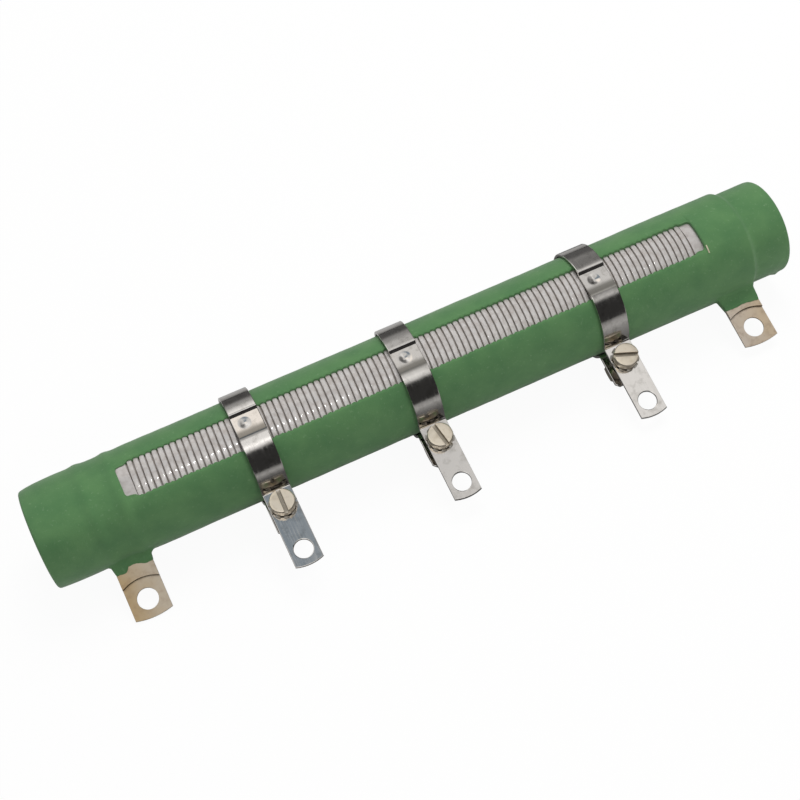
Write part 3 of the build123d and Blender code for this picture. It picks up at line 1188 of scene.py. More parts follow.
@dataclass
class ToothedWasher(TapPiece):
    """An outside-toothed lock washer whose teeth are twisted out of its plane."""

    seat: float = 3.9
    radius: float = 4.0
    bore: float = 2.15
    root: float = 3.05
    thickness: float = 0.34
    teeth: int = 10
    tooth_share: float = 0.62
    tooth_rise: float = 0.65
    twist: float = 13.0
    columns: int = 12

    def build(self) -> Object:
        """Make and place the washer.

        Returns:
            The washer.
        """
        radii = np.array([self.bore, (self.bore + self.root) / 2, self.root])
        long_radii = np.array([*radii, (self.root + self.radius) / 2, self.radius])
        steps = self.teeth * self.columns
        points, levels = [], ([], [])
        for level, side in zip(levels, (-0.5, 0.5)):
            for i in range(steps):
                share = i % self.columns / self.columns
                row = long_radii if share <= self.tooth_share else radii
                out = np.maximum(0, (row - self.root) / (self.radius - self.root))
                lean = 2 * min(share / self.tooth_share, 1.0) - 1
                lift = self.tooth_rise * math.tan(math.radians(self.twist)) * lean * out
                level.append(range(len(points), len(points) + len(row)))
                plan = polar(row, 360 * i / steps)
                points += np.column_stack([plan, side * self.thickness + lift]).tolist()
        faces = []
        low, high = levels
        for i in range(steps):
            j = (i + 1) % steps
            shared = min(len(low[i]), len(low[j]))
            for ring in levels:
                pairs = [(ring[i][row], ring[j][row]) for row in range(shared)]
                faces += [(*a, *b[::-1]) for a, b in zip(pairs, pairs[1:])]
            for row in (0, shared - 1):
                faces.append((low[i][row], low[j][row], high[j][row], high[i][row]))
            if len(low[i]) == len(long_radii) > min(len(low[j]), len(low[i - 1])):
                walls = range(len(radii) - 1, len(long_radii) - 1)
                faces += [(low[i][r], low[i][r + 1], high[i][r + 1], high[i][r]) for r in walls]
        solid = Solid(self.on_screw(np.array(points), self.seat), faces)
        return self.dressed(solid, "toothed_washer", "washer", Slot.WASHER, 25)


@dataclass
class HexNut(TapPiece):
    """A hexagon nut with chamfered corners."""

    seat: float = -3.6
    flats: float = 7.0
    height: float = 3.2
    bore: float = 1.98
    mouth: float = 0.35
    chamfer: float = 25.0
    face_inset: float = 0.12
    steps: int = 72

    def build(self) -> Object:
        """Make and place the nut.

        Returns:
            The nut.
        """
        angles = np.arange(self.steps) * 360 / self.steps
        flat, top, mouth = self.flats / 2, self.height, self.bore + self.mouth
        rim = flat / np.cos(np.radians(angles % 60 - 30))
        drop = (rim - flat + self.face_inset) * math.tan(math.radians(self.chamfer))
        face = flat - self.face_inset
        section = [(self.bore, self.mouth), (mouth, 0), (face, 0), (rim, drop)]
        section += [(rim, top - drop), (face, top), (mouth, top), (self.bore, top - self.mouth)]
        points = rings(section, angles)[:, [1, 0, 2]] * (1, 1, -1)
        faces = as_faces(quads(len(section), self.steps, wrap_rows=True))
        nut = Solid(self.on_screw(points, self.seat), faces)
        return self.dressed(nut, "hex_nut", "nut", Slot.SCREW, 25)


@dataclass
class AdjustableTap:
    """A whole sliding tap: clamp, screw, toothed washer and nut."""

    place: Place
    slot_angle: float
    skew: float = 0.0

    def build(self) -> None:
        """Build the tap's four pieces on its own body."""
        tap = f"tap_{self.place.value}"
        axes = LugFrame.of_mount(f"{tap}_hole")
        TapBand(tap, axes, BrightNickel(), skew=self.skew).build()
        TapScrew(tap, axes, TurnedNickel(), slot_angle=self.slot_angle).build()
        ToothedWasher(tap, axes, SpringSteel()).build()
        HexNut(tap, axes, TurnedNickel()).build()


@dataclass
class EndTerminal:
    """A strap round the ceramic whose two ends lie together as a lug."""

    side: str
    finish: Finish
    short_reach: float = 21.79
    width: float = 10.5
    thickness: float = 0.6
    strap_radius: float = 13.04
    leaf_reach: float = 31.49
    end_bulge: float = 0.7
    hollow: float = 1.3
    hole_reach: float = 26.34
    hole_radius: float = 2.9
    bend_setback: float = 0.5
    edge_round: float = 0.07

    def build(self) -> Object:
        """Bend the strap and place it.

        Returns:
            The terminal.
        """
        offset = self.thickness / 2
        start = math.degrees(math.asin(offset / self.strap_radius))
        bend_reach = math.sqrt(self.strap_radius**2 - offset**2)
        pieces = [
            np.array([(self.leaf_reach, -offset), (bend_reach, -offset)]),
            arc(self.strap_radius, -start, start - 360),
            np.array([(bend_reach, offset), (self.short_reach, offset)]),
        ]
        path = StripPath(pieces, [self.bend_setback, self.bend_setback]).line()
        ends = (self.end_bulge, bowed_edge(self.width, self.hollow) * (1, -1) + (0, self.hollow))
        holes = [(self.leaf_reach - self.hole_reach, self.hole_radius)]
        strap = BentStrip(self.width, self.thickness, path, *ends, holes, self.edge_round)
        solid = strap.bent([])
        solid.points = LugFrame.of_mount(f"terminal_{self.side}_hole").place(solid.points)
        lug = show(f"terminal_{self.side}_strap", solid, self.finish, "root", 20)
        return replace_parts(lug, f"terminal_{self.side}")


@dataclass
class ResistanceWinding:
    """One layer of thick wire, wound as a helix, with its leads to the end straps."""

    axes: LugFrame
    finish: Finish
    wire_radius: float = 0.65
    turn_radius: float = 13.35
    pitch: float = 1.735
    turns: int = 96
    first_edge: float = -83.055
    window_middle: float = 98.5
    window_half: float = 27.0
    bare_steps: int = 17
    buried_steps: int = 12
    lean: float = 0.34
    lead_starts: tuple[float, float] = (-86.5, 88.65)
    lead_bend: float = 1.2
    seed: int = 11
    shake: float = 0.03
    ring_points: int = 16
    corner_share: float = 0.45
    widening: float = 1.1

    def route(self) -> Rows:
        """Centre line of the wire.

        Returns:
            Rows of distance along the tube, angle and radius.
        """
        draw = np.random.default_rng(self.seed)
        bare = np.linspace(-self.window_half, self.window_half, self.bare_steps)
        buried = np.linspace(self.window_half, 360 - self.window_half, self.buried_steps)[1:-1]
        marks = []
        for turn in range(self.turns):
            shift = draw.uniform(-self.shake, self.shake)
            lift = draw.uniform(-self.shake, self.shake) / 2
            for step in bare if turn == self.turns - 1 else (*bare, *buried):
                fade = max(0.0, math.cos(math.radians(step))) ** 2
                along = self.first_edge + (turn + 0.5 + step / 360) * self.pitch
                along += self.lean * math.sin(math.radians(step)) + shift * fade
                angle = self.window_middle + turn * 360 + step
                marks.append((along, angle, self.turn_radius + lift * fade))
        (first, first_angle, _), (last, last_angle, _) = marks[0], marks[-1]
        start, stop = self.lead_starts
        into = [(start, first_angle - 6), (first - self.lead_bend, first_angle - 5)]
        out = [(last + self.lead_bend, last_angle + 5), (stop, last_angle + 6)]
        leads = [[(*point, self.turn_radius) for point in lead] for lead in (into, out)]
        return np.array(leads[0] + marks + leads[1])

    def section(self) -> Rows:
        """Section of the wire, a circle that rolling has flattened towards a rounded square.

        Returns:
            Rows of height and sideways place, as shares of the wire's radius.
        """
        circle = polar(1.0, (np.arange(self.ring_points) + 0.5) * 360 / self.ring_points)
        squared = np.sign(circle) * (1 - self.corner_share) + self.corner_share * circle
        return squared * (1, self.widening)

    def build(self) -> Object:
        """Sweep the wire along its route.

        Returns:
            The winding.
        """
        along, angle, radius = self.route().T
        radial = np.column_stack([along * 0, polar(1.0, angle)])
        line = np.column_stack([along, polar(radius, angle)])
        course = unit(np.gradient(line, axis=0))
        side = unit(np.cross(course, radial))
        up = np.cross(side, course)
        rise, spread = self.wire_radius * self.section().T[:, :, None]
        points = line[:, None, :] + rise * up[:, None, :] + spread * side[:, None, :]
        faces = capped(len(line), self.ring_points)
        solid = Solid(self.axes.place(points.reshape(-1, 3)), faces)
        wire = show("resistance_wire", solid, self.finish, "root", 60)
        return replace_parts(wire, "resistance_winding")


@dataclass
class FlatBand:
    """A flat band round the tube in the window, beside the turns or below them."""

    name: str
    axes: LugFrame
    finish: Finish
    start: float
    stop: float
    low_angle: float = 74.5
    high_angle: float = 122.0
    floor_radius: float = 12.6
    top_radius: float = 13.92
    corner: float = 0.25
    crown: float = 0.02
    steps: int = 22
    bump_height: float = 0.025
    bumps: Unevenness = Unevenness(5, 3.0)

    def build(self) -> Object:
        """Sweep the band's section round the tube.

        Returns:
            The band.
        """
        corner, bevel = self.corner, self.corner * 0.3
        half = [(0, self.floor_radius), (0, self.top_radius - corner)]
        half += [(bevel, self.top_radius - bevel), (corner, self.top_radius)]
        section = [(self.start + x, radius) for x, radius in half]
        section += [((self.start + self.stop) / 2, self.top_radius + self.crown)]
        section += [(self.stop - x, radius) for x, radius in reversed(half)]
        angle = np.repeat(np.linspace(self.low_angle, self.high_angle, self.steps), len(section))
        along, radius = np.tile(section, (self.steps, 1)).T
        radius = radius + self.bump_height * self.bumps.at(np.column_stack([along, angle / 4]))
        points = np.column_stack([along, polar(radius, angle)])
        solid = Solid(self.axes.place(points), capped(self.steps, len(section)))
        return show(self.name, solid, self.finish, "root")


@dataclass
class CementCoating:
    """The fired cement: dipped rims, ridges over the straps, raised lug roots and a long window."""

    axes: LugFrame
    finish: Finish
    left_end: float = -112.0
    right_end: float = 112.0
    lip_radius: float = 10.7
    ceramic_end: float = 0.6
    inner_radius: float = 12.74
    wall_middle: float = 13.9
    left_radius: float = 14.6
    right_radius: float = 14.95
    rim_drop: float = 0.72
    rim_length: float = 3.2
    rim_tilt: float = 0.22
    rim_tilt_angle: float = 166.0
    end_round: float = 0.7
    ridge_rise: float = 0.34
    ridge_length: float = 1.5
    ridge_insets: tuple[float, float] = (1.1, 1.2)
    dip: float = 0.17
    dip_length: float = 8.0
    neck_radius: float = 13.92
    neck_start: float = 99.2
    neck_length: float = 1.9
    drip_place: tuple[float, float] = (109.4, -14.0)
    drip_height: float = 0.45
    drip_radius: float = 0.9
    window_start: float = -86.2
    window_end: float = 86.65
    window_low: float = 77.0
    window_high: float = 120.0
    window_middle: float = 98.5
    window_corner: float = 0.7
    lip_round: float = 0.55
    lip_drop: float = 0.3
    first_turn: float = -83.055
    pitch: float = 1.735
    lean: float = 0.34
    scallop_low: float = -0.35
    scallop_high: float = 0.3
    ragged_low: float = 0.154
    ragged_high: float = 0.077
    end_narrowing: tuple[float, float] = (0.85, 0.5)
    lug_width: float = 10.5
    lug_thickness: float = 1.2
    roll_span: tuple[float, float] = (15.0, 45.0)
    root_fillet: float = 2.1
    root_rise: float = 1.25
    swell: float = 0.05
    film_thickness: float = 0.3
    films: tuple[tuple[tuple[float, float], ...], ...] = (
        ((-5.25, 17.7), (-2.4, 17.8), (-1.7, 17.1), (-1.4, 16.5), (1.0, 16.6), (3.0, 17.4), (5.25, 17.5)),
        ((-5.25, 19.2), (-2.0, 19.2), (0.0, 19.0), (3.0, 19.4), (5.25, 19.6)),
    )
    column_step: float = 0.55
    edge_steps: tuple[float, ...] = (0.1, 0.25, 0.5, 0.85)
    start_steps: tuple[float, ...] = (0.0, 0.35, 0.8, 1.4, 2.1)
    stop_steps: tuple[float, ...] = (0.0, 0.4, 0.9, 1.6, 2.3)
    near_steps: tuple[float, ...] = (0.0, 0.1, 0.25, 0.45, 0.8, 1.4, 2.2)
    root_steps: tuple[float, ...] = (0.35, 0.55, 0.68, 0.8, 0.95, 1.15, 1.4, 1.7, 2.1, 2.6, 3.3)

    def __post_init__(self) -> None:
        """Read the lugs' places and rolls from their mounts."""
        self.lugs = []
        self.degree = math.degrees(1 / self.left_radius)
        for side in ("left", "right"):
            lug = LugFrame.of_mount(f"terminal_{side}_hole")
            sine, cosine = (lug.outwards.dot(v) for v in (self.axes.forwards, self.axes.outwards))
            self.lugs.append((lug.middle, math.degrees(math.atan2(sine, cosine))))

    def columns(self) -> Rows:
        """Choose the grid's columns, finer at the window's ends and at the lugs.

        Returns:
            Places along the tube.
        """
        start, stop, quarter = self.window_start, self.window_end, self.pitch / 4
        marks = [
            *np.arange(self.left_end + self.end_round, start - 1.0, self.column_step),
            *(start - step for step in self.edge_steps),
            *(start + step for step in self.start_steps),
            *np.arange(self.first_turn - quarter, stop - quarter - 2.2, quarter),
            *(stop - step for step in self.stop_steps),
            *(stop + step for step in self.edge_steps),
            *np.arange(stop + 1.3, self.right_end - self.end_round, self.column_step),
        ]
        edges = [lug + side * self.lug_width / 2 for lug, _ in self.lugs for side in (-1, 1)]
        marks = [m for m in marks if min(abs(m - edge) for edge in edges) > 0.2]
        marks = np.array(sorted(marks + [edge + d for edge in edges for d in (-0.1, 0.1)]))
        return marks[np.concatenate([[True], np.diff(marks) > 0.06])]

    def rows(self) -> Rows:
        """Choose the grid's rows, finer at the window's edges and at the lug roots.

        Returns:
            Angles round the tube.
        """
        near = np.array(self.near_steps) * self.degree
        root = np.array(self.root_steps) * self.degree
        low, high = self.window_low, self.window_high
        marks = [0.0, *(low - near), *(high + near), *root, *(360 - root)]
        marks += list(np.linspace(root[-1], low - near[-1], 24)[1:-1])
        marks += list(np.linspace(low, high, 12)[1:-1])
        marks += list(np.linspace(high + near[-1], 360 - root[-1], 78)[1:-1])
        return np.array(sorted(marks))

    def skin(self, along: Rows, angle: Rows) -> Rows:
        """Outer radius of the coating, without its lug roots.

        Args:
            along: Places along the tube.
            angle: Angles round it.

        Returns:
            The radius at each point.
        """
        share = smooth_step(along, self.window_start, self.neck_start)
        radius = self.left_radius + (self.right_radius - self.left_radius) * share
        tilt = self.rim_tilt * np.cos(np.radians(angle - self.rim_tilt_angle))
        radius -= (self.rim_drop + tilt) * np.exp(-(along - self.left_end) / self.rim_length)
        from_lug = along - self.lugs[0][0]
        radius -= self.dip * np.exp(-((from_lug / self.dip_length) ** 4))
        for side, inset in zip((-1, 1), self.ridge_insets):
            away = from_lug - side * (self.lug_width / 2 - inset)
            radius += self.ridge_rise * np.exp(-((away / self.ridge_length) ** 2))
        neck = smooth_step(along, self.neck_start, self.neck_start + self.neck_length)
        return radius + (self.neck_radius - radius) * neck

    def roots(self, along: Rows, angle: Rows, radius: Rows) -> Rows:
        """Height of the fillets that climb the lugs, and of the torn film on their faces.

        Args:
            along: Places along the tube.
            angle: Angles round it.
            radius: Radius of the skin there.

        Returns:
            The extra radius.
        """
        total = np.zeros_like(along)
        uneven = Unevenness(23, 3.5)
        for number, (middle, roll) in enumerate(self.lugs):
            off = (angle - roll + 180) % 360 - 180
            side = np.abs(np.radians(off)) * radius - self.lug_thickness / 2
            end = np.abs(along - middle) - self.lug_width / 2
            away = np.hypot(np.maximum(side, 0), np.maximum(end, 0))
            share = np.clip(1 - away / self.root_fillet, 0, 1)
            spots = np.column_stack([(along + 40 * number).ravel(), 5 * np.sign(off).ravel()])
            rise = self.root_rise * (1 + 0.28 * uneven.at(spots).reshape(along.shape))
            places, tops = zip(*self.films[number])
            top = np.interp(along - middle, places, tops)
            top = top + 0.12 * uneven.at(2.5 * spots).reshape(along.shape)
            film = np.clip(1 - away / self.film_thickness, 0, 1) ** 0.5
            total = np.maximum(total, np.maximum(rise * share**2.6, (top - radius) * film))
        return total

    def end_profile(self) -> Rows:
        """Columns over an end, as the distance from it and the drop below the skin.

        Returns:
            The columns, from the mouth outwards. A drop below zero stands for a radius.
        """
        mouth, corner = self.lip_radius, self.end_round
        face = [(self.ceramic_end, -mouth), (0.22, -mouth - 0.02), (0.05, -mouth - 0.1)]
        face += [(0.0, -mouth - 0.3), (0.0, -mouth - 1.4), (0.0, corner)]
        turns = np.radians((22.5, 45, 67.5))
        rounding = corner * (1 - np.column_stack([np.cos(turns), np.sin(turns)]))
        return np.vstack([face, rounding])

    def row_shift(self, along: Rows, angle: Rows) -> Rows:
        """Shift of the rows, which follow the lugs' roll and the window's ragged edges.

        Args:
            along: Places along the tube.
            angle: Angles before the shift.

        Returns:
            The shift in degrees.
        """
        start, stop, corner = self.window_start, self.window_end, self.window_corner
        (left, left_roll), (right, right_roll) = self.lugs
        roll = np.interp(along, (left + 8, right - 8), (left_roll, right_roll))
        from_lug = np.abs((angle + 180) % 360 - 180)
        shift = roll * (1 - smooth_step(from_lug, *self.roll_span))
        inside = smooth_step(along, start + 2.2, start + 3.4)
        inside = inside * (1 - smooth_step(along, stop - 3.8, stop - 2.6))
        gap = np.minimum(np.abs(along - start), np.abs(along - stop))
        nearness = np.clip(corner - gap, 0, corner)
        push_in = corner - np.sqrt(corner**2 - nearness**2)
        for end, narrowing in zip((start, stop), self.end_narrowing):
            push_in = push_in + narrowing * (1 - smooth_step(np.abs(along - end), 2.4, 3.6))
        for edge, sign, scallop, ragged in (
            (self.window_low, 1, self.scallop_low, self.ragged_low),
            (self.window_high, -1, self.scallop_high, self.ragged_high),
        ):
            lean = self.lean * math.sin(math.radians(edge - self.window_middle))
            wave = 0.5 * np.cos(2 * math.pi * (along - self.first_turn - lean) / self.pitch)
            uneven = Unevenness(9, 4.0).at(np.column_stack([along.ravel(), 0 * along.ravel() + edge]))
            push = scallop * wave * inside + ragged * uneven.reshape(along.shape) + push_in
            reach = np.exp(-(((angle - edge) / (1.2 * self.degree)) ** 2))
            shift = shift + sign * push * self.degree * reach
        return shift

    def lip(self, along: Rows, angle: Rows) -> Rows:
        """How far the skin rounds down beside the window.

        Args:
            along: Places along the tube.
            angle: Angles round it.

        Returns:
            The drop at each point.
        """
        across = np.maximum(self.window_low - angle, angle - self.window_high)
        across = np.radians(across) * self.left_radius
        beyond = np.maximum(self.window_start - along, along - self.window_end)
        away = np.hypot(np.maximum(across, 0), np.maximum(beyond, 0))
        return self.lip_drop * np.clip(1 - away / self.lip_round, 0, 1) ** 2

    def build(self) -> Object:
        """Build the closed coating, with its window.

        Returns:
            The coating.
        """
        profile, rows = self.end_profile(), self.rows()
        ends, drops = profile.T
        lead = len(profile)
        xs = np.concatenate([self.left_end + ends, self.columns(), self.right_end - ends[::-1]])
        along, angle = np.meshgrid(xs, rows)
        angle = angle + self.row_shift(along, angle)
        radius = self.skin(along, angle)
        for end, beside, drop in (
            (slice(None, lead), slice(lead, lead + 1), drops),
            (slice(-lead, None), slice(-lead - 1, -lead), drops[::-1]),
        ):
            radius[:, end] = np.where(drop < 0, -drop, radius[:, beside] - drop)
        body = np.zeros_like(xs)
        body[lead:-lead] = 1.0
        spots = np.column_stack([along.ravel(), polar(15, angle).reshape(-1, 2)])
        swell = Unevenness(3, 16.0).at(spots) + 0.45 * Unevenness(4, 5.0).at(spots)
        radius += body * self.swell * swell.reshape(radius.shape)
        radius += body * self.roots(along, angle, radius)
        drip_x, drip_angle = self.drip_place
        off = np.radians((angle - drip_angle + 180) % 360 - 180) * radius
        drip = np.exp(-((along - drip_x) ** 2 + off**2) / self.drip_radius**2)
        radius += body * (self.drip_height * drip - self.lip(along, angle))
        points = np.column_stack([along.ravel(), polar(radius, angle).reshape(-1, 2)])
        solid = self.closed(points, rows, xs)
        solid.points = self.axes.place(solid.points)
        coat = show("cement_coat", solid, self.finish, "root", 60)
        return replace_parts(coat, "cement_coating")

    def closed(self, points: Rows, rows: Rows, xs: Rows) -> Solid:
        """Close the skin with the window's walls and the surface against the ceramic.

        Args:
            points: The skin's points, row by row.
            rows: Angles of the rows.
            xs: Places of the columns.

        Returns:
            The closed coating.
        """
        edges = ((rows, self.window_low), (rows, self.window_high))
        edges += ((xs, self.window_start), (xs, self.window_end))
        low_row, high_row, low_col, high_col = (np.abs(v - edge).argmin() for v, edge in edges)
        kept = np.ones((len(rows), len(xs) - 1), bool)
        kept[low_row:high_row, low_col:high_col] = False
        faces = as_faces(quads(len(rows), len(xs), wrap_rows=True, wrap_columns=False)[kept])
        skin = np.arange(len(points)).reshape(len(rows), len(xs))
        border = [*skin[low_row, low_col:high_col], *skin[low_row:high_row, high_col]]
        border += [*skin[high_row, high_col:low_col:-1], *skin[high_row:low_row:-1, low_col]]
        above = (border, border, skin[:, 0], skin[:, -1])
        radii = (self.wall_middle, *(self.inner_radius,) * 3)
        levels, numbers, count = [points], [], len(points)
        for start, radius in zip(above, radii):
            below = points[start]
            below[:, 1:] = unit(below[:, 1:]) * radius
            levels.append(below)
            numbers.append(list(range(count, count + len(below))))
            count += len(below)
        middle, floor, left, right = numbers
        for upper, lower in ((border, middle), (middle, floor)):
            faces += zip(upper, upper[1:] + upper[:1], lower[1:] + lower[:1], lower)
        below_border = dict(zip(border, floor))
        for row in range(len(rows)):
            after = (row + 1) % len(rows)
            faces.append((skin[row, 0], skin[after, 0], left[after], left[row]))
            faces.append((skin[row, -1], skin[after, -1], right[after], right[row]))
            if low_row <= row < high_row:
                for end, column in ((left, low_col), (right, high_col)):
                    near, far = (below_border[skin[r, column]] for r in (row, after))
                    faces.append((end[row], end[after], far, near))
            elif after == low_row or row == high_row:
                near, far = (after, row) if after == low_row else (row, after)
                edge = [below_border[i] for i in skin[near, low_col : high_col + 1]]
                half = len(edge) // 2
                faces.append((left[far], left[near], edge[0]))
                faces += [(left[far], a, b) for a, b in zip(edge[:half], edge[1 : half + 1])]
                faces.append((left[far], edge[half], right[far]))
                faces += [(right[far], a, b) for a, b in zip(edge[half:], edge[half + 1 :])]
                faces.append((right[far], edge[-1], right[near]))
            else:
                faces.append((left[row], left[after], right[after], right[row]))
        return Solid(np.vstack(levels), [tuple(map(int, face)) for face in faces])


@dataclass(frozen=True)
class Panel:
    """A soft-edged bright or dark panel of the studio, as glossy surfaces see it.

    Low and high are angles above the horizon in front, left and right are tilts along the tube.
    """

    low: float
    high: float
    left: float
    right: float
    softness: float
    side_softness: float
    level: float
    tint: str = "#FFFFFF"


@dataclass(frozen=True)
class Lamp:
    """A round lamp turned to the object. A glint lamp shows only in gloss."""

    name: str
    place: Triple
    size: float
    power: float
    glint: bool = False


@dataclass
class Studio:
    """Plain pale floor, soft light and a camera at the photograph's angle."""

    floor_half: float = 600.0
    floor_colour: str = "#F2F2F0"
    floor_glow: tuple[float, float] = (0.47, 0.22)
    glow_span: tuple[float, float] = (80.0, 360.0)
    seen_share: float = 0.95
    shade_heading: Triple = (0.5, -1.0, 0.0)
    shade_span: tuple[float, float] = (42.0, 115.0)
    shade_level: float = 0.2
    camera_place: Triple = (-75.08, -258.32, 301.5)
    view_direction: Triple = (0.168, 0.633, -0.755)
    picture_right: Triple = (0.904, -0.405, -0.138)
    lens: float = 65.07
    sensor: float = 36.0
    ambient: float = 0.40
    dark_level: float = 0.032
    panels: tuple[Panel, ...] = (
        Panel(44, 68, -80, 11, 4, 6, 1.0),
        Panel(43, 50, 11, 40, 4, 6, 0.6),
        Panel(50, 55, -80, 10, 3, 5, 0.7),
        Panel(50, 68, 11, 60, 6, 6, 0.4),
        Panel(68, 122, -80, 80, 6, 10, 0.75),
        Panel(70, 88, 14, 60, 5, 4, 0.22),
        Panel(88, 104, -12, 8, 5, 5, -0.54, "#FFF2E4"),
        Panel(102, 122, -9, 8, 4, 5, 0.42, "#FFEEDA"),
        Panel(60, 124, 26, 46, 6, 5, -0.6),
        Panel(122, 143, -80, 9, 7, 7, 0.78),
        Panel(122, 157, -80, 80, 7, 11, 0.16),
        Panel(122, 157, -80, 12, 7, 11, 0.18),
        Panel(150, 200, -80, 80, 10, 10, 0.055),
        Panel(150, 200, 13, 80, 10, 6, 0.03),
    )
    glinting: str = "resistance_wire"
    lamp_row: tuple[Lamp, ...] = (
        Lamp("key_lamp", (330, 400, 900), 700, 7.0),
        Lamp("fill_lamp", (350, -700, 600), 600, 2.1),
        Lamp("glint_lamp", (120, -1000, 2750), 180, 5.6, glint=True),
    )

    def build(self) -> None:
        """Set up the floor, the light and the camera, once the winding is in place."""
        self.floor()
        self.world()
        self.lamps()
        self.camera()
        bpy.context.scene.view_settings.view_transform = "Standard"

    @staticmethod
    def white_rays(tree: Tree) -> tuple[Node, Node]:
        """Tell rays straight from the camera from the others.

        Args:
            tree: The node tree.

        Returns:
            The kinds of ray, and a share of 1 for those from the camera.
        """
        rays = add_node(tree, "LightPath")
        kinds = {0: rays.outputs["Is Camera Ray"], 1: rays.outputs["Is Transmission Ray"]}
        return rays, add_node(tree, "Math", kinds, operation="MAXIMUM")

    def floor(self) -> None:
        """Plain pale floor that keeps the object's shadow.

        Gloss sees it bright near the object, dim far away and dimmer still in front.
        """
        corners = np.array([(-1, -1, 0), (1, -1, 0), (1, 1, 0), (-1, 1, 0)]) * self.floor_half * MM
        mesh = bpy.data.meshes.new("floor")
        mesh.from_pydata((corners + (0, 0, cad_box[0].z)).tolist(), [], [(0, 1, 2, 3)])
        floor = put("floor", mesh)
        material = bpy.data.materials.new("white_paper_floor")
        tree = empty_tree(material)
        rays, seen = self.white_rays(tree)
        place = add_node(tree, "TexCoord").outputs["Object"]
        reach = add_node(tree, "VectorMath", {0: place}, operation="LENGTH").outputs["Value"]
        ahead = {0: place, 1: self.shade_heading}
        away = add_node(tree, "VectorMath", ahead, operation="DOT_PRODUCT").outputs["Value"]
        near, far = (edge * MM for edge in self.glow_span)
        bright, dim = self.floor_glow
        fading = {"Value": reach, "From Min": near, "From Max": far, "To Min": bright, "To Max": dim}
        near, far = (edge * MM for edge in self.shade_span)
        shade = {"Value": away, "From Min": near, "From Max": far, "To Min": self.shade_level}
        behind = {"Value": away, "From Max": -near}
        glow, front, rear = (add_node(tree, "MapRange", span) for span in (fading, shade, behind))
        lit = add_node(tree, "Math", {0: front, 1: rear}, operation="MAXIMUM")
        lit = add_node(tree, "Math", {0: lit, 1: glow}, operation="MULTIPLY")
        gloss = rays.outputs["Is Glossy Ray"]
        lit = add_node(tree, "Math", {0: gloss, 1: lit}, operation="MULTIPLY")
        shown = add_node(tree, "Math", {0: seen, 1: lit}, operation="MAXIMUM")
        share = {0: self.seen_share, 1: seen, 2: gloss}
        share = add_node(tree, "Math", share, operation="MULTIPLY_ADD")
        paper = add_node(tree, "BsdfDiffuse", {"Color": linear(self.floor_colour)})
        shining = add_node(tree, "Emission", {"Strength": shown})
        surface = add_node(tree, "MixShader", {0: share, 1: paper, 2: shining})
        add_node(tree, "OutputMaterial", {"Surface": surface})
        mesh.materials.append(material)

    def world(self) -> None:
        """White behind the object, soft light all round, and the panels that metal reflects."""
        world = bpy.data.worlds.new("studio")
        bpy.context.scene.world = world
        tree = empty_tree(world)
        toward = add_node(tree, "TexCoord").outputs["Generated"]
        parts = add_node(tree, "SeparateXYZ", {0: toward}).outputs
        front = add_node(tree, "Math", {0: parts["Y"], 1: -1.0}, operation="MULTIPLY")
        height = add_node(tree, "Math", {0: parts["Z"], 1: front}, operation="ARCTAN2")
        tilt = add_node(tree, "Math", {0: parts["X"]}, operation="ARCSINE")
        light: object = (self.dark_level,) * 3
        for panel in self.panels:
            rise = self.soft_edges(tree, height, panel.low, panel.high, panel.softness)
            sides = self.soft_edges(tree, tilt, panel.left, panel.right, panel.side_softness)
            shape = add_node(tree, "Math", {0: rise, 1: sides}, operation="MULTIPLY")
            colour = tuple(panel.level * share for share in linear(panel.tint)[:3])
            terms = {0: shape, 1: colour, 2: light}
            light = add_node(tree, "VectorMath", terms, operation="MULTIPLY_ADD")
        rays, white = self.white_rays(tree)
        plain = add_node(tree, "MapRange", {"Value": white, "To Min": self.ambient, "To Max": 1.0})
        sky = blend(tree, rays.outputs["Is Glossy Ray"], plain, light)
        add_node(tree, "OutputWorld", {"Surface": add_node(tree, "Background", {"Color": sky})})

    @staticmethod
    def soft_edges(tree: Tree, source: Node, low: float, high: float, softness: float) -> Node:
        """A band of directions with soft edges.

        Args:
            tree: The world's node tree.
            source: The direction's angle in radians.
            low: Where the band starts.
            high: Where it stops.
            softness: Half the width of each soft edge.

        Returns:
            1 inside the band and 0 outside.
        """
        ramps = []
        for edge, start in ((low, 0.0), (high, 1.0)):
            first, last = math.radians(edge - softness), math.radians(edge + softness)
            span = {"Value": source, "From Min": first, "From Max": last}
            span |= {"To Min": start, "To Max": 1 - start}
            ramps.append(add_node(tree, "MapRange", span, interpolation_type="SMOOTHSTEP"))
        return add_node(tree, "Math", {0: ramps[0], 1: ramps[1]}, operation="MULTIPLY")

    def lamps(self) -> None:
        """Broad soft lamps above and in front, and a small one for the glints on the wire."""
        for lamp in self.lamp_row:
            data = bpy.data.lights.new(lamp.name, "AREA")
            data.shape = "DISK"
            data.size = lamp.size * MM
            data.energy = lamp.power
            holder = put(lamp.name, data)
            holder.location = Vector(lamp.place) * MM
            holder.rotation_mode = "QUATERNION"
            holder.rotation_quaternion = (-Vector(lamp.place)).to_track_quat("-Z", "Y")
            holder.visible_glossy = lamp.glint
            holder.visible_diffuse = not lamp.glint
            if lamp.glint:
                lit = bpy.data.collections.new(f"{lamp.name}_receivers")
                lit.objects.link(bpy.data.objects[self.glinting])
                holder.light_linking.receiver_collection = lit

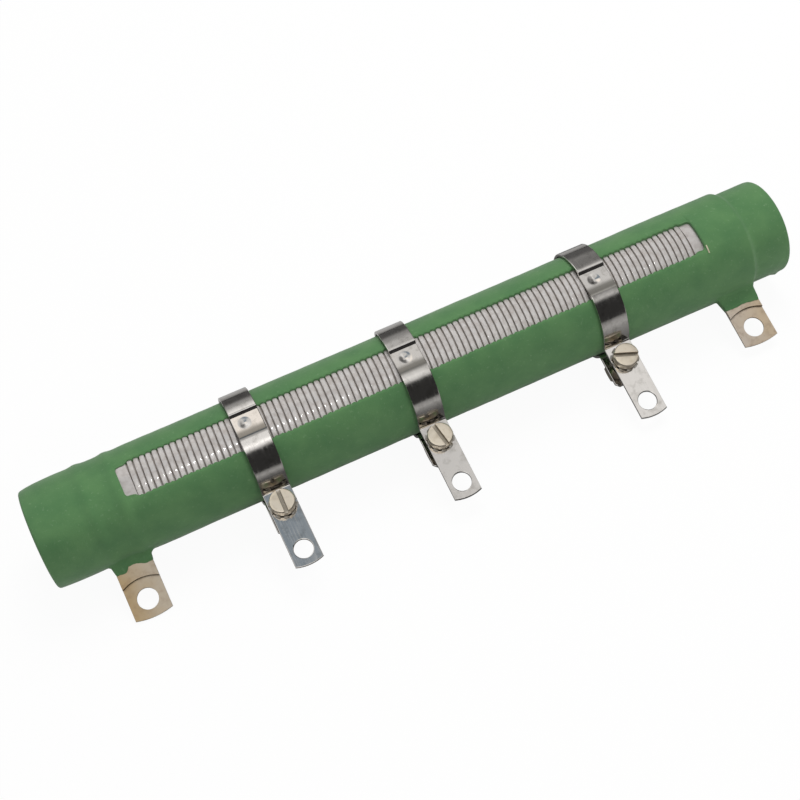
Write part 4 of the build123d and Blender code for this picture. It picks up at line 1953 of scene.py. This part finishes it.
    def camera(self) -> None:
        """Camera at the photograph's place, with its turn about the view direction."""
        ahead = Vector(self.view_direction).normalized()
        right = Vector(self.picture_right)
        right = (right - ahead * right.dot(ahead)).normalized()
        data = bpy.data.cameras.new("camera")
        data.sensor_width = self.sensor
        data.lens = self.lens
        data.clip_start = 10 * MM
        holder = put("camera", data)
        turn = Matrix((right, right.cross(ahead), -ahead)).transposed().to_4x4()
        holder.matrix_world = Matrix.Translation(Vector(self.camera_place) * MM) @ turn
        bpy.context.scene.camera = holder


def main() -> None:
    """Build the object and then the studio."""
    logging.basicConfig(level=logging.INFO, format="%(name)s: %(message)s")
    axes = tube_frame()
    ceramic = frame["nodes"]["ceramic_tube"]
    ceramic.data.materials.clear()
    ceramic.data.materials.append(Steatite().material())
    log.info("ceramic_tube: the packed node, with its finish")
    CementCoating(axes, FiredCement()).build()
    ResistanceWinding(axes, DrawnWire()).build()
    dull = DrawnWire("oxidised_flat_band", colour="#C4BFBC", stained="#B4ADA9", metal_share=0.3)
    FlatBand("window_end_band_left", axes, dull, start=-86.4, stop=-83.1).build()
    FlatBand("window_end_band_right", axes, dull, start=83.55, stop=86.8).build()
    bed = DrawnWire("oxide_between_turns", colour="#8A827A", stained="#6E665D", metal_share=0.0)
    layer = {"low_angle": 76.0, "high_angle": 121.0, "floor_radius": 12.72, "top_radius": 13.45}
    FlatBand("winding_bed", axes, bed, start=-83.2, stop=83.65, **layer).build()
    bright = DrawnWire("bared_tie_wire", colour="#DCD2B8", stained="#CFC4A8", metal_share=0.2)
    stub = {"low_angle": 73.0, "high_angle": 82.0, "floor_radius": 14.2, "top_radius": 15.08}
    FlatBand("tie_wire_end", axes, bright, start=86.95, stop=87.3, corner=0.1, **stub).build()
    # The right strap gets a paler copy of the strap finish: painted light, brighter to stand in for the
    # light it catches.
    painted_brighter_finish = TarnishedNickel("tarnished_nickel_strap_pale", tint="#E2CDB0", plate="#E0D3C5")
    EndTerminal("left", TarnishedNickel()).build()
    EndTerminal("right", painted_brighter_finish).build()
    AdjustableTap(Place.LEFT, slot_angle=88.0).build()
    AdjustableTap(Place.MIDDLE, slot_angle=-80.0, skew=1.9).build()
    AdjustableTap(Place.RIGHT, slot_angle=-21.0, skew=1.2).build()
    Studio().build()


if __name__ == "__main__":
    main()
